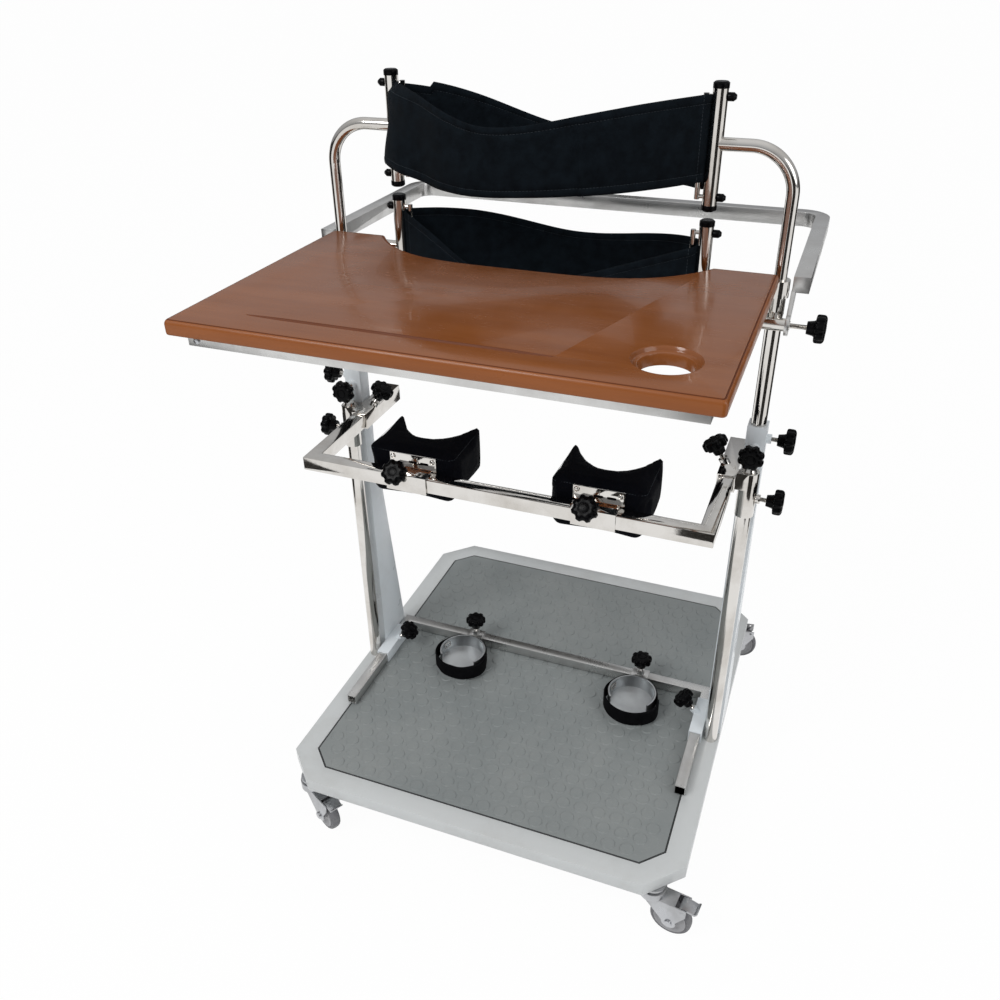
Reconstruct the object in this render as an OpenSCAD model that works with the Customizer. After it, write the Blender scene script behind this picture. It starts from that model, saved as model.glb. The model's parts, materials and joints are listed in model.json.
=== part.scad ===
// Adult standing frame on casters: a welded base with two tapered side posts,
// telescopic masts that carry the tray, two belts and a swing-up rear bar, a
// sliding knee bar with two padded knee blocks, and a sliding foot bar with heel
// cups. Star knobs lock every adjustment.
// +X is right as seen from the front, +Y is the rear, where the user steps in.
// The origin is on the floor in the middle of the overall outline.

/* [Base] */
// Width of the base over its side rails
base_w = 780; // [720:5:840]
// Length of the base from front to rear
base_l = 842; // [760:2:900]
// Middle of the base behind the origin
base_y = 37; // [0:1:60]
// Length that each corner cut takes off the sides
corner_cut = 62; // [40:1:90]
// Width of the base rails
rail_w = 40; // [32:1:50]
// Height of the base rails
rail_h = 28; // [24:1:40]
// Wall of the base rails
rail_wall = 2; // [1.5:0.1:3]
// Thickness of the deck sheet
deck_t = 2; // [1:0.5:3]
// Thickness of the rubber mat
mat_t = 4; // [3:0.5:6]
// Gap between the mat and the rails
mat_gap = 1.5; // [0.5:0.5:4]
// Depth of the mat's face below the rail tops
mat_drop = 0.5; // [0:0.5:2]
// Height of the cross members under the deck
cross_h = 18; // [12:1:19]

/* [Casters] */
// Height of a caster from the floor to the base
caster_h = 107; // [100:1:125]
// Wheel diameter
wheel_d = 75; // [60:1:80]
// Wheel width
wheel_w = 24; // [18:1:28]
// Distance of the wheel axle behind the swivel axis
caster_trail = 38; // [30:1:45]
// Distance of a swivel axis from the side of the base
caster_in_x = 50; // [42:1:60]
// Distance of a swivel axis from the end of the base
caster_in_y = 36; // [32:1:50]
// Diameter of the swivel head
head_d = 48; // [40:1:56]
// Diameter of the kingpin
kingpin_d = 12; // [10:0.5:16]
// Diameter of the wheel axle
axle_d = 8; // [6:0.5:10]
// Thickness of the pressed fork
fork_t = 2.5; // [2:0.1:3.5]
// Headings of the casters in degrees: front left, front right, rear left, rear right
caster_turns = [-28, -8, 172, 8]; // [-180:1:180]

/* [Side posts] */
// Distance of the masts and guide tubes from the middle
post_x = 374; // [360:1:380]
// Width of a post
post_w = 32; // [30:1:34]
// Depth of a post at its top, round the mast
post_top_depth = 32; // [30:1:40]
// Depth of a post where it stands on the base
post_foot_depth = 98; // [70:1:140]
// Height of a post above the base
post_h = 686; // [620:1:740]
// Height above the base where a post starts to taper
post_taper_h = 520; // [400:1:540]
// Length of the solid mast guide in the top of a post
sleeve_l = 90; // [60:1:120]
// Position of the mast axis behind the origin
mast_y = 26; // [10:1:40]
// Distance of the guide tube in front of the mast
guide_gap = 34.5; // [34:0.5:45]
// Diameter of the guide tubes
guide_d = 25; // [22:0.5:26]
// Distance of the guide tubes' tops below the post tops
guide_drop = 70; // [60:1:90]
// Wall of the round tubes
tube_wall = 2; // [1.5:0.1:2.5]

/* [Masts] */
// Diameter of the masts
mast_d = 25; // [24:0.5:26]
// Height of the tray's face above the mast tops
mast_drop = 16; // [10:1:30]
// Length of the masts
mast_l = 432; // [400:1:460]
// Diameter of the chest support tubes, which slide in the masts
goose_d = 19; // [16:0.5:19.5]
// Height of the chest support's level run above the mast tops
goose_rise = 187; // [180:1:230]
// Bend radius of the chest support tubes
goose_bend = 65; // [50:1:80]
// Length of a chest support tube inside its mast
goose_inset = 200; // [140:1:240]

/* [Belts] */
// Distance of the belt posts from the middle
belt_x = 257; // [240:1:270]
// Diameter of the belt posts
belt_post_d = 22; // [18:0.5:24]
// Length of the belt posts
belt_post_l = 160; // [140:1:170]
// Distance of the hip arms below the mast tops
hip_drop = 10; // [10:1:14]
// Diameter of the rods that hold the belts
rod_d = 8; // [6:0.5:10]
// Height of the belt bands
band_h = 126; // [100:1:130]
// Thickness of the belt bands
band_t = 4; // [3:0.5:6]
// Bow of the chest belt's front band
chest_front_bow = 165; // [100:1:180]
// Bow of the chest belt's rear band
chest_rear_bow = 118; // [80:1:160]
// Bow of the hip belt's front band
hip_front_bow = 100; // [60:1:105]
// Bow of the hip belt's rear band
hip_rear_bow = 112; // [80:1:160]
// Sag of the front bands' top edges
front_sag = 38; // [10:1:50]
// Sag of the rear bands' top edges
rear_sag = 62; // [20:1:70]

/* [Tray] */
// Width of the tray
tray_w = 748; // [700:2:750]
// Depth of the tray from front to rear
tray_l = 459; // [420:1:480]
// Thickness of the tray
tray_t = 22; // [18:1:28]
// Height of the tray's face above the base
tray_h = 944; // [938:1:960]
// Gap between the tray's rear edge and the masts
tray_gap = 12.5; // [5:0.5:30]
// Corner radius of the tray
tray_corner = 14; // [5:1:25]
// Width of the bevel round the tray's face
tray_bevel = 6; // [2:0.5:8]
// Half width of the body cut-out
cutout_half = 275; // [250:1:300]
// Depth of the body cut-out
cutout_depth = 100; // [80:1:120]
// Distance of the pencil groove from the front edge
groove_in = 54; // [30:1:80]
// Left end of the pencil groove
groove_left = -279; // [-320:1:-200]
// Right end of the pencil groove
groove_right = 160; // [100:1:200]
// Width of the pencil groove
groove_w = 9; // [6:0.5:12]
// Depth of the pencil groove
groove_depth = 3.5; // [2:0.5:5]
// Cup hole: distance right of the middle
cup_x = 287; // [260:1:300]
// Cup hole: distance from the front edge
cup_in = 90; // [70:1:120]
// Cup hole diameter
cup_d = 69; // [60:1:76]
// Diameter of the stepped rim round the cup hole
cup_rim_d = 88; // [80:1:96]
// Depth of the rim's step
cup_rim_depth = 6; // [3:0.5:10]
// Size of the square rails under the tray
tray_rail = 20; // [16:1:25]
// Distance of the side rails from the middle
tray_rail_x = 345; // [335:1:346]
// Distance of the front rail from the front edge
tray_rail_in = 22; // [10:1:40]

/* [Rear bar] */
// Size of the square rear bar
rear_bar = 25; // [20:1:28]
// Gap between the masts' collars and the arms of the rear bar
rear_gap = 3.5; // [2:0.5:6]
// Distance of the rear bar's arms below the mast tops
rear_drop = 7; // [2:1:12]
// Distance of the front ends of those arms behind their pivot
arm_start = 26.5; // [20:0.5:60]
// Position of the rear crossbar behind the origin
rear_y = 420; // [380:1:440]
// Outer bend radius at the corners of the rear bar
rear_bend = 48; // [40:1:80]
// Distance of the pivot boss below the mast tops
pivot_drop = 62; // [58:1:66]
// Diameter of the pivot boss
boss_d = 20; // [18:0.5:24]
// Diameter of the pivot journal
journal_d = 14; // [12:0.5:16]
// Thickness of the pivot lugs
lug_t = 6; // [4:0.5:8]

/* [Knee bar] */
// Size of the square knee bar
knee_bar_w = 25; // [20:1:28]
// Distance of the knee bar's middle below the post tops
knee_drop = 86; // [84:1:120]
// Front of the knee bar, in front of the origin
knee_front = 215; // [180:1:240]
// Distance of the knee bar's arms from the middle
knee_arm_x = 340; // [330:1:341]
// Rear end of the knee bar's arms behind the origin
knee_arm_end = 97; // [60:1:100]
// Length of the square sockets that hold the arms
knee_socket_l = 138; // [110:1:160]
// Front mouth of those sockets, in front of the origin
knee_socket_front = 36; // [30:1:50]
// Wall of the square tubes and sockets
square_wall = 2.5; // [2:0.1:3]
// Height of the sliders on the guide tubes
slider_h = 83; // [60:1:100]
// Wall of the sliders
slider_wall = 3.5; // [3:0.1:4]
// Position of the left knee block
knee_left_x = -155; // [-200:1:-110]
// Position of the right knee block
knee_right_x = 166; // [110:1:200]
// Width of a knee pad
pad_w = 160; // [130:1:170]
// Depth of a knee pad to the tips of its horns
pad_depth = 116; // [90:1:124]
// Height of a knee pad
pad_h = 90; // [70:1:100]
// Distance of a pad's bottom below the middle of the knee bar
pad_low = 48; // [40:1:56]
// Depth of the hollow between a pad's horns
pad_hollow_depth = 62; // [40:1:70]

/* [Foot bar] */
// Size of the square foot bar
foot_bar_w = 20; // [16:1:22]
// Front ends of the side rails, in front of the origin
foot_front = 173; // [140:1:200]
// Position of the foot crossbar behind the origin
foot_cross_y = 102; // [96:1:120]
// Length of the foot rail sockets
foot_socket_l = 100; // [70:1:110]
// Front mouth of the foot rail sockets, in front of the origin
foot_socket_front = 29; // [20:1:40]
// Position of the left heel cup
heel_left_x = -176; // [-220:1:-120]
// Position of the right heel cup
heel_right_x = 203; // [120:1:220]
// Inner diameter of the heel cups
heel_d = 92; // [80:1:110]
// Height of the heel cups
heel_h = 32; // [24:1:44]
// Wall of the heel cups
heel_wall = 3.5; // [2.5:0.5:5]
// Thickness of the heel straps
strap_t = 2.5; // [2:0.5:4]

/* [Star knobs] */
// Diameter of the star heads
star_d = 43; // [36:1:50]
// Number of lobes on a star head
star_lobes = 8; // [6:1:9]
// Thickness of a star head
star_t = 16; // [12:1:20]
// Length of the hub under a star head
hub_l = 12; // [8:1:16]
// Diameter of the threaded studs
stud_d = 8; // [6:0.5:10]
// Length of the weld nuts that take the studs
nut_l = 8; // [5:0.5:12]
// Length of bare stud between a nut and its hub
stud_show = 10; // [6:0.5:20]

/* [Clearances] */
// Radial clearance of parts that turn or slide on each other
run_fit = 0.08; // [0.05:0.01:0.1]
// Clearance of square bars in their sockets, per side
square_fit = 0.3; // [0.2:0.05:0.5]
// Gap that a stud or a face keeps from what it presses on
press_gap = 0.3; // [0.2:0.05:0.5]

/* [Hidden] */
$fn = 64;
SIDES = [-1, 1];
mast_top = tray_h - mast_drop;
goose_h = mast_top + goose_rise;
hip_h = mast_top - hip_drop;
rear_h = mast_top - rear_drop;
pivot_h = mast_top - pivot_drop;
guide_h = post_h - guide_drop;
knee_h = post_h - knee_drop;
RIGHT = 1;
LEFT = -1;
deck_z = caster_h + rail_h;
mat_z = deck_z - mat_drop;
guide_y = mast_y - guide_gap;
post_front_y = mast_y - post_top_depth / 2;
post_inner_x = post_x - post_w / 2;
tray_rear_y = mast_y - mast_d / 2 - tray_gap;
tray_front_y = tray_rear_y - tray_l;
slider_r = guide_d / 2 + run_fit + slider_wall;
nut_d = 2 * stud_d;
tilted_sunk = 7;
collar_r = mast_d / 2 + run_fit + 3;
collar_h = 26;
boss_y = mast_y - mast_d / 2 - boss_d / 2;
boss_end_x = post_x + mast_d / 2 + 5.5;
arm_x = post_x + collar_r + rear_gap + rear_bar / 2;
wrap_r = rod_d / 2 + press_gap + band_t / 2;
rod_x = belt_x - belt_post_d / 2 - wrap_r - band_t / 2 - press_gap;
bolt_in = 11;
bolt_d = 6;
cap_h = 7;
plug_l = 6;
hip_base = hip_h - belt_post_l / 2;
chest_base = goose_h - belt_post_l / 2 - 6;
slider_top = knee_h + knee_bar_w / 2 + 2;
knee_outer = knee_bar_w + 2 * (square_fit + square_wall);
foot_outer = foot_bar_w + 2 * (square_fit + square_wall);
foot_z = deck_z + square_wall + square_fit + foot_bar_w / 2;
foot_socket_x = post_inner_x - foot_outer / 2;
heel_y = foot_cross_y - foot_bar_w / 2 - square_fit - square_wall - 14 - heel_d / 2 - heel_wall;
heel_z = deck_z + 8;
plate_t = 3;
pad_front_y = -knee_front + knee_bar_w + square_fit + square_wall + plate_t;
mount_flange_t = 4;
fork_top_z = caster_h - mount_flange_t - press_gap;
fork_plate_z = wheel_d + 9;
fork_gap = wheel_w + 4;
pedal_x = caster_trail + 20;
pedal_z = wheel_d + 4;
pedal_pin_d = 5;
pivot_stud_l = 24;
pivot_stud_show = 24;

// Shared shapes

module at_side(side) mirror([side < 0 ? 1 : 0, 0, 0]) children();

// A cylinder along +X or +Y instead of +Z
module along_x(r, l) rotate([0, 90, 0]) cylinder(r = r, h = l);
module along_y(r, l) rotate([-90, 0, 0]) cylinder(r = r, h = l);

module octagon(w, l, c) polygon([
  [-w / 2 + c, -l / 2], [w / 2 - c, -l / 2], [w / 2, -l / 2 + c], [w / 2, l / 2 - c],
  [w / 2 - c, l / 2], [-w / 2 + c, l / 2], [-w / 2, l / 2 - c], [-w / 2, -l / 2 + c]
]);

// The base outline moved inwards by a distance
module base_outline(inset) octagon(base_w - 2 * inset, base_l - 2 * inset,
                                   corner_cut - inset * (2 - sqrt(2)));

// A square tube along +Y with its middle on the axis
module square_tube_y(w, l, wall) difference() {
  translate([-w / 2, 0, -w / 2]) cube([w, l, w]);
  translate([-w / 2 + wall, -1, -w / 2 + wall]) cube([w - 2 * wall, l + 2, w - 2 * wall]);
}

// A square tube along X with closed ends, the same distance to both sides of its middle
module closed_tube_x(w, half, wall) difference() {
  translate([-half, -w / 2, -w / 2]) cube([2 * half, w, w]);
  translate([-half + wall, -w / 2 + wall, -w / 2 + wall]) cube([2 * (half - wall), w - 2 * wall, w - 2 * wall]);
}

// Points of an arc
function arc(cx, cy, r, a0, a1, n) = [
  for (i = [0 : n]) let (a = a0 + (a1 - a0) * i / n) [cx + r * cos(a), cy + r * sin(a)]
];

// A closed solid through rings of equal point counts, lowest ring first. Each ring runs
// along one side and back along the other, and the end faces are strips between the two.
module loft(rings) {
  n = len(rings[0]);
  last = (len(rings) - 1) * n;
  strip = [for (i = [0 : n / 2 - 2]) each [[i, i + 1, n - 2 - i], [i, n - 2 - i, n - 1 - i]]];
  polyhedron(
    points = [for (ring = rings) each ring],
    faces = concat(
      strip,
      [for (k = [0 : len(rings) - 2], i = [0 : n - 1]) let (a = k * n + i, b = k * n + (i + 1) % n)
        each [[a, a + n, b + n], [a, b + n, b]]],
      [for (f = strip) [last + f[2], last + f[1], last + f[0]]]
    )
  );
}

// Star knobs

module star_outline() difference() {
  circle(d = star_d);
  for (i = [0 : star_lobes - 1])
    rotate(i * 360 / star_lobes) translate([0.6 * star_d, 0]) circle(r = 0.17 * star_d);
}

// A knob whose stud points to -Z; z = 0 is the face of its nut, and the stud
// reaches below it
module star_knob(reach, show = stud_show) {
  head_z = show + hub_l;
  translate([0, 0, -reach]) cylinder(d = stud_d, h = reach + show + 1);
  translate([0, 0, show]) cylinder(d1 = 0.44 * star_d, d2 = 0.56 * star_d, h = hub_l);
  intersection() {
    translate([0, 0, head_z]) linear_extrude(star_t) star_outline();
    translate([0, 0, head_z]) rotate_extrude() polygon([
      [0, 0], [star_d / 2 - 3, 0], [star_d / 2, 3], [star_d / 2, star_t - 4],
      [star_d / 2 - 4, star_t - 1], [star_d / 2 - 9, star_t], [0, star_t]
    ]);
  }
}

// A weld nut, sunk into what carries it where that is slanted
module nut(sunk = 0) translate([0, 0, -sunk]) cylinder(d = nut_d, h = nut_l + sunk);
module stud_hole(depth) translate([0, 0, -depth]) cylinder(r = stud_d / 2 + run_fit, h = depth + nut_l + 1);

// Places of the knobs: each puts z = 0 on the face that carries the nut, with +Z
// outwards along the stud

mast_wall_reach = post_w / 2 - mast_d / 2;
side_knob_in = 25;
front_knob_in = 37;
slider_knob_in = 50;
module mast_side_place(side) at_side(side)
  translate([post_x + post_w / 2, mast_y, deck_z + post_h - side_knob_in]) rotate([0, 90, 0]) children();
module mast_front_place(side) at_side(side)
  translate([post_x, post_front_y, deck_z + post_h - front_knob_in]) rotate([90, 0, 0]) children();
module slider_place(side) at_side(side)
  translate([post_x + slider_r - 1, guide_y, deck_z + slider_top - slider_knob_in]) rotate([0, 90, 0]) children();
socket_knob_tilt = 32;
knee_nut_out = knee_outer / 2 + 3;
module knee_socket_place(side) at_side(side)
  translate([knee_arm_x, guide_y + 16, deck_z + knee_h])
    rotate([0, -socket_knob_tilt, 0]) translate([0, 0, knee_nut_out]) children();
module rear_bar_place(side) at_side(side)
  translate([boss_end_x + lug_t + 2, boss_y, deck_z + pivot_h]) rotate([0, 90, 0]) children();
block_knob_tilt = 40;
block_knob_left = 5;
module knee_block_place(x)
  translate([x - block_knob_left, -knee_front + knee_bar_w / 2, deck_z + knee_h])
    rotate([90 - block_knob_tilt, 0, 0]) translate([0, 0, knee_nut_out]) children();
module heel_place(x)
  translate([x, foot_cross_y, foot_z + foot_outer / 2]) children();
foot_knob_tilt = 45;
foot_knob_in = 61;
foot_nut_out = foot_outer / 2 + 3.5;
module foot_rail_place(side) at_side(side)
  translate([foot_socket_x, foot_knob_in - foot_socket_front, foot_z])
    rotate([0, -foot_knob_tilt, 0]) translate([0, 0, foot_nut_out]) children();

// Base

module base_frame() color("gainsboro") translate([0, base_y, 0]) {
  translate([0, 0, caster_h]) difference() {
    linear_extrude(rail_h) difference() {
      base_outline(0);
      base_outline(rail_w);
    }
    translate([0, 0, rail_wall]) linear_extrude(rail_h - 2 * rail_wall) difference() {
      base_outline(rail_wall);
      base_outline(rail_w - rail_wall);
    }
  }
  translate([0, 0, mat_z - mat_t - deck_t]) linear_extrude(deck_t) base_outline(rail_w - rail_wall / 2);
  for (y = [-1, 1])
    translate([-base_w / 2 + rail_w - rail_wall / 2, y * base_l / 5 - 15, mat_z - mat_t - deck_t - cross_h])
      difference() {
        cube([base_w - 2 * rail_w + rail_wall, 30, cross_h + deck_t / 2]);
        translate([-1, rail_wall, -1]) cube([base_w, 30 - 2 * rail_wall, cross_h + 1 - rail_wall]);
      }
}

module floor_mat() color("slategray") translate([0, base_y, mat_z - mat_t])
  linear_extrude(mat_t) base_outline(rail_w + mat_gap);

// Side posts: a folded tapered box with the mast guide in its top and the foot
// rail's socket at its foot

module post_profile(inset, top) polygon([
  [post_front_y + inset, deck_z + inset],
  [post_front_y + post_foot_depth - inset, deck_z + inset],
  [post_front_y + post_top_depth - inset, deck_z + post_taper_h],
  [post_front_y + post_top_depth - inset, deck_z + top],
  [post_front_y + inset, deck_z + top]
]);

// Extrudes a profile drawn in Y and Z along +X
module extrude_x(x, w) translate([x, 0, 0]) rotate([90, 0, 90]) linear_extrude(w) children();

module side_post(side) {
  difference() {
    union() {
      at_side(side) extrude_x(post_inner_x, post_w) post_profile(0, post_h);
      at_side(side) translate([foot_socket_x, -foot_socket_front, foot_z])
        translate([-foot_outer / 2, 0, -foot_outer / 2]) cube([foot_outer, foot_socket_l, foot_outer]);
      mast_side_place(side) nut();
      mast_front_place(side) nut();
      foot_rail_place(side) nut(tilted_sunk);
    }
    at_side(side) extrude_x(post_inner_x + rail_wall, post_w - 2 * rail_wall)
      post_profile(rail_wall, post_h - sleeve_l);
    at_side(side) translate([post_x, mast_y, deck_z + post_h - sleeve_l - 1])
      cylinder(r = mast_d / 2 + run_fit, h = sleeve_l + 2);
    at_side(side) translate([foot_socket_x, -foot_socket_front - 1, foot_z])
      translate([-foot_bar_w / 2 - square_fit, 0, -foot_bar_w / 2 - square_fit])
        cube([foot_bar_w + 2 * square_fit, foot_socket_l + 2, foot_bar_w + 2 * square_fit]);
    mast_side_place(side) stud_hole(post_w / 2);
    mast_front_place(side) stud_hole(post_top_depth / 2);
    foot_rail_place(side) stud_hole(foot_outer / 2);
  }
}

module left_post() color("whitesmoke") side_post(LEFT);
module right_post() color("whitesmoke") side_post(RIGHT);

module guide_tube(side) at_side(side) translate([post_x, guide_y, deck_z]) {
  difference() {
    cylinder(d = guide_d, h = guide_h);
    translate([0, 0, -1]) cylinder(d = guide_d - 2 * tube_wall, h = guide_h - 5);
  }
  translate([0, 0, guide_h - 1]) cylinder(d1 = guide_d - 1, d2 = guide_d - 7, h = 6);
}

module left_guide_tube() color("silver") guide_tube(LEFT);
module right_guide_tube() color("silver") guide_tube(RIGHT);

// Casters

CASTER_SIDES = [[-1, -1], [1, -1], [-1, 1], [1, 1]];
function caster_x(i) = CASTER_SIDES[i][0] * (base_w / 2 - caster_in_x);
function caster_y(i) = base_y + CASTER_SIDES[i][1] * (base_l / 2 - caster_in_y);
module caster_place(i) translate([caster_x(i), caster_y(i), 0]) rotate(caster_turns[i]) children();

kingpin_bottom = fork_plate_z - fork_t - 4;
module caster_mounts() color("lightsteelblue") for (i = [0 : 3]) translate([caster_x(i), caster_y(i), 0]) {
  translate([0, 0, caster_h - mount_flange_t]) cylinder(d = head_d - 4, h = mount_flange_t);
  translate([0, 0, kingpin_bottom]) cylinder(d = kingpin_d, h = caster_h - kingpin_bottom);
  translate([0, 0, kingpin_bottom]) cylinder(d = kingpin_d + 6, h = 4 - press_gap);
}

// Side view of a fork cheek in X and Z
module cheek_outline() {
  translate([caster_trail, wheel_d / 2]) circle(r = 13);
  polygon([
    [-head_d / 2 + 6, fork_plate_z], [caster_trail - 13, wheel_d / 2], [caster_trail + 12, wheel_d / 2 + 5],
    [pedal_x + 8, wheel_d - 8], [pedal_x + 8, pedal_z + 5], [pedal_x - 12, fork_plate_z]
  ]);
}

module caster_fork(i) caster_place(i) difference() {
  union() {
    translate([0, 0, fork_plate_z - fork_t]) cylinder(d = head_d, h = fork_top_z - fork_plate_z + fork_t - 5);
    translate([0, 0, fork_plate_z - fork_t]) cylinder(d = head_d - 8, h = fork_top_z - fork_plate_z + fork_t);
    for (y = [-fork_gap / 2 - fork_t, fork_gap / 2])
      translate([0, y + fork_t, 0]) rotate([90, 0, 0]) linear_extrude(fork_t) cheek_outline();
    translate([-head_d / 2 + 6, -fork_gap / 2 - fork_t, fork_plate_z - fork_t])
      cube([pedal_x - 12 + head_d / 2 - 6, fork_gap + 2 * fork_t, fork_t]);
    translate([caster_trail, -fork_gap / 2 - fork_t - 4, wheel_d / 2]) {
      along_y(axle_d / 2, fork_gap + 2 * fork_t + 8);
      along_y(axle_d - 1, 4);
      translate([0, fork_gap + 2 * fork_t + 4, 0]) along_y(axle_d - 1, 4);
    }
  }
  translate([0, 0, fork_plate_z - fork_t - 1])
    cylinder(r = kingpin_d / 2 + run_fit, h = fork_top_z - fork_plate_z + fork_t + 2);
  translate([pedal_x, -fork_gap / 2 - fork_t - 1, pedal_z])
    along_y(pedal_pin_d / 2 + run_fit, fork_gap + 2 * fork_t + 2);
}

module wheel(i) caster_place(i) translate([caster_trail, wheel_w / 2, wheel_d / 2]) rotate([90, 0, 0])
  rotate_extrude() difference() {
    union() {
      translate([axle_d / 2 + run_fit, 0]) square([wheel_d / 2 - 4 - axle_d / 2 - run_fit, wheel_w]);
      translate([wheel_d / 2 - 5, 4]) square([5, wheel_w - 8]);
      for (z = [4, wheel_w - 4]) translate([wheel_d / 2 - 4, z]) circle(r = 4);
    }
    for (z = [-1, wheel_w - 3]) translate([axle_d + 4, z]) square([wheel_d / 2 - 10 - axle_d - 4, 4]);
  }

module brake_pedal(i) caster_place(i) {
  w = fork_gap - 2;
  translate([pedal_x, -fork_gap / 2 - fork_t, pedal_z])
    along_y(pedal_pin_d / 2, fork_gap + 2 * fork_t);
  translate([0, w / 2, 0]) rotate([90, 0, 0]) linear_extrude(w) polygon([
    [pedal_x - 4, pedal_z - 4], [pedal_x + 3, pedal_z - 8], [pedal_x + 6, pedal_z - 3], [pedal_x + 8, pedal_z + 1],
    [pedal_x + 22, pedal_z - 1], [pedal_x + 27, pedal_z + 5], [pedal_x + 25, pedal_z + 6],
    [pedal_x + 21, pedal_z + 2.5], [pedal_x + 4, pedal_z + 6.5], [pedal_x - 5, pedal_z + 4]
  ]);
}

module front_left_caster_fork() color("silver") caster_fork(0);
module front_right_caster_fork() color("silver") caster_fork(1);
module rear_left_caster_fork() color("silver") caster_fork(2);
module rear_right_caster_fork() color("silver") caster_fork(3);
module front_left_wheel() color("gray") wheel(0);
module front_right_wheel() color("gray") wheel(1);
module rear_left_wheel() color("gray") wheel(2);
module rear_right_wheel() color("gray") wheel(3);
module front_left_brake_pedal() color("lightsteelblue") brake_pedal(0);
module front_right_brake_pedal() color("lightsteelblue") brake_pedal(1);

// Masts, with the pivot bosses of the rear bar

module mast_tubes() color("silver") for (side = SIDES) difference() {
  union() {
    at_side(side) translate([post_x, mast_y, deck_z + mast_top - mast_l]) cylinder(d = mast_d, h = mast_l);
    at_side(side) translate([tray_rail_x - tray_rail / 2, boss_y, deck_z + pivot_h])
      along_x(boss_d / 2, boss_end_x - tray_rail_x + tray_rail / 2);
    at_side(side) translate([post_x - mast_d / 2, boss_y, deck_z + pivot_h - boss_d / 2])
      cube([mast_d, mast_y - boss_y, boss_d]);
    at_side(side) translate([boss_end_x - 1, boss_y, deck_z + pivot_h])
      along_x(journal_d / 2, lug_t + 3 - press_gap);
  }
  at_side(side) translate([post_x, mast_y, deck_z + mast_top - mast_l - 1])
    cylinder(r = goose_d / 2 + run_fit, h = mast_l + 2);
  rear_bar_place(side) stud_hole(pivot_stud_l + 2);
}

// A belt post along +Z with the holes for its two bolts; z = 0 is its lower end
module belt_post() difference() {
  cylinder(d = belt_post_d, h = belt_post_l);
  translate([0, 0, -1]) cylinder(d = belt_post_d - 2 * tube_wall, h = belt_post_l + 2);
  for (z = [bolt_in, belt_post_l - bolt_in])
    translate([-belt_post_d, 0, z]) along_x(bolt_d / 2 + run_fit, 2 * belt_post_d);
}

module hip_arm(side) at_side(side) {
  difference() {
    union() {
      translate([post_x, mast_y, deck_z + mast_top - collar_h]) cylinder(r = collar_r, h = collar_h);
      translate([belt_x, mast_y, deck_z + hip_h])
        along_x(goose_d / 2, post_x - belt_x);
    }
    translate([post_x, mast_y, deck_z + mast_top - collar_h - 1])
      cylinder(r = mast_d / 2 + run_fit, h = collar_h + 2);
    translate([belt_x, mast_y, deck_z + hip_h - belt_post_l / 2]) cylinder(d = belt_post_d - 1, h = belt_post_l);
  }
  translate([belt_x, mast_y, deck_z + hip_base]) belt_post();
}

module hip_arms() color("silver") for (side = SIDES) hip_arm(side);

// The rod that holds a belt's end, with its two bolts through the belt post
module belt_rods(base) for (side = SIDES) at_side(side) {
  rod_in = bolt_in - bolt_d / 2 - 1;
  translate([rod_x, mast_y, deck_z + base + rod_in]) cylinder(d = rod_d, h = belt_post_l - 2 * rod_in);
  for (z = [bolt_in, belt_post_l - bolt_in])
    translate([rod_x, mast_y, deck_z + base + z]) along_x(bolt_d / 2, belt_x - rod_x + belt_post_d / 2 + 6);
}

// End plugs of the belt posts and cap nuts on the bolts
module belt_caps(base) for (side = SIDES) at_side(side) translate([belt_x, mast_y, deck_z + base]) {
  for (end = [0, 1]) translate([0, 0, end * belt_post_l]) mirror([0, 0, 1 - end]) {
    cylinder(d = belt_post_d + 1, h = cap_h);
    translate([0, 0, cap_h]) cylinder(d1 = belt_post_d + 1, d2 = belt_post_d - 4, h = 2);
    translate([0, 0, -plug_l]) cylinder(r = belt_post_d / 2 - tube_wall - run_fit, h = plug_l + 1);
  }
  for (z = [bolt_in, belt_post_l - bolt_in]) translate([belt_post_d / 2, 0, z]) difference() {
    union() {
      along_x(bolt_d, 8);
      translate([7.9, 0, 0]) rotate([0, 90, 0]) cylinder(r1 = bolt_d, r2 = bolt_d / 2, h = 4);
    }
    translate([-1, 0, 0]) along_x(bolt_d / 2 + run_fit, 8);
  }
}

module hip_belt_rods() color("silver") belt_rods(hip_base);
module hip_post_caps() color("black") belt_caps(hip_base);

// A belt: one band that goes round both rods, bowed forwards and rearwards

// Plan of the band's middle, from the left rod along the front and back along the rear
function band_half(bow, turn, n) = let (slope = atan(2 * bow / rod_x), xe = rod_x + wrap_r * sin(slope))
  concat(
    [for (i = [0 : n]) let (x = turn * xe * (2 * i / n - 1))
      [x, -turn * (wrap_r * cos(slope) + bow * (1 - x * x / (xe * xe))), 1 - x * x / (xe * xe)]]
  );
function band_end(front, rear, turn, n) = let (
    a0 = -90 + atan(2 * (turn > 0 ? front : rear) / rod_x),
    a1 = 90 - atan(2 * (turn > 0 ? rear : front) / rod_x))
  [for (i = [1 : n - 1]) let (a = a0 + (a1 - a0) * i / n)
    [turn * (rod_x + wrap_r * cos(a)), turn * wrap_r * sin(a), 0]];
function band_plan(front, rear) = concat(
  band_half(front, 1, 24), band_end(front, rear, 1, 6), band_half(rear, -1, 24), band_end(front, rear, -1, 6));

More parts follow.
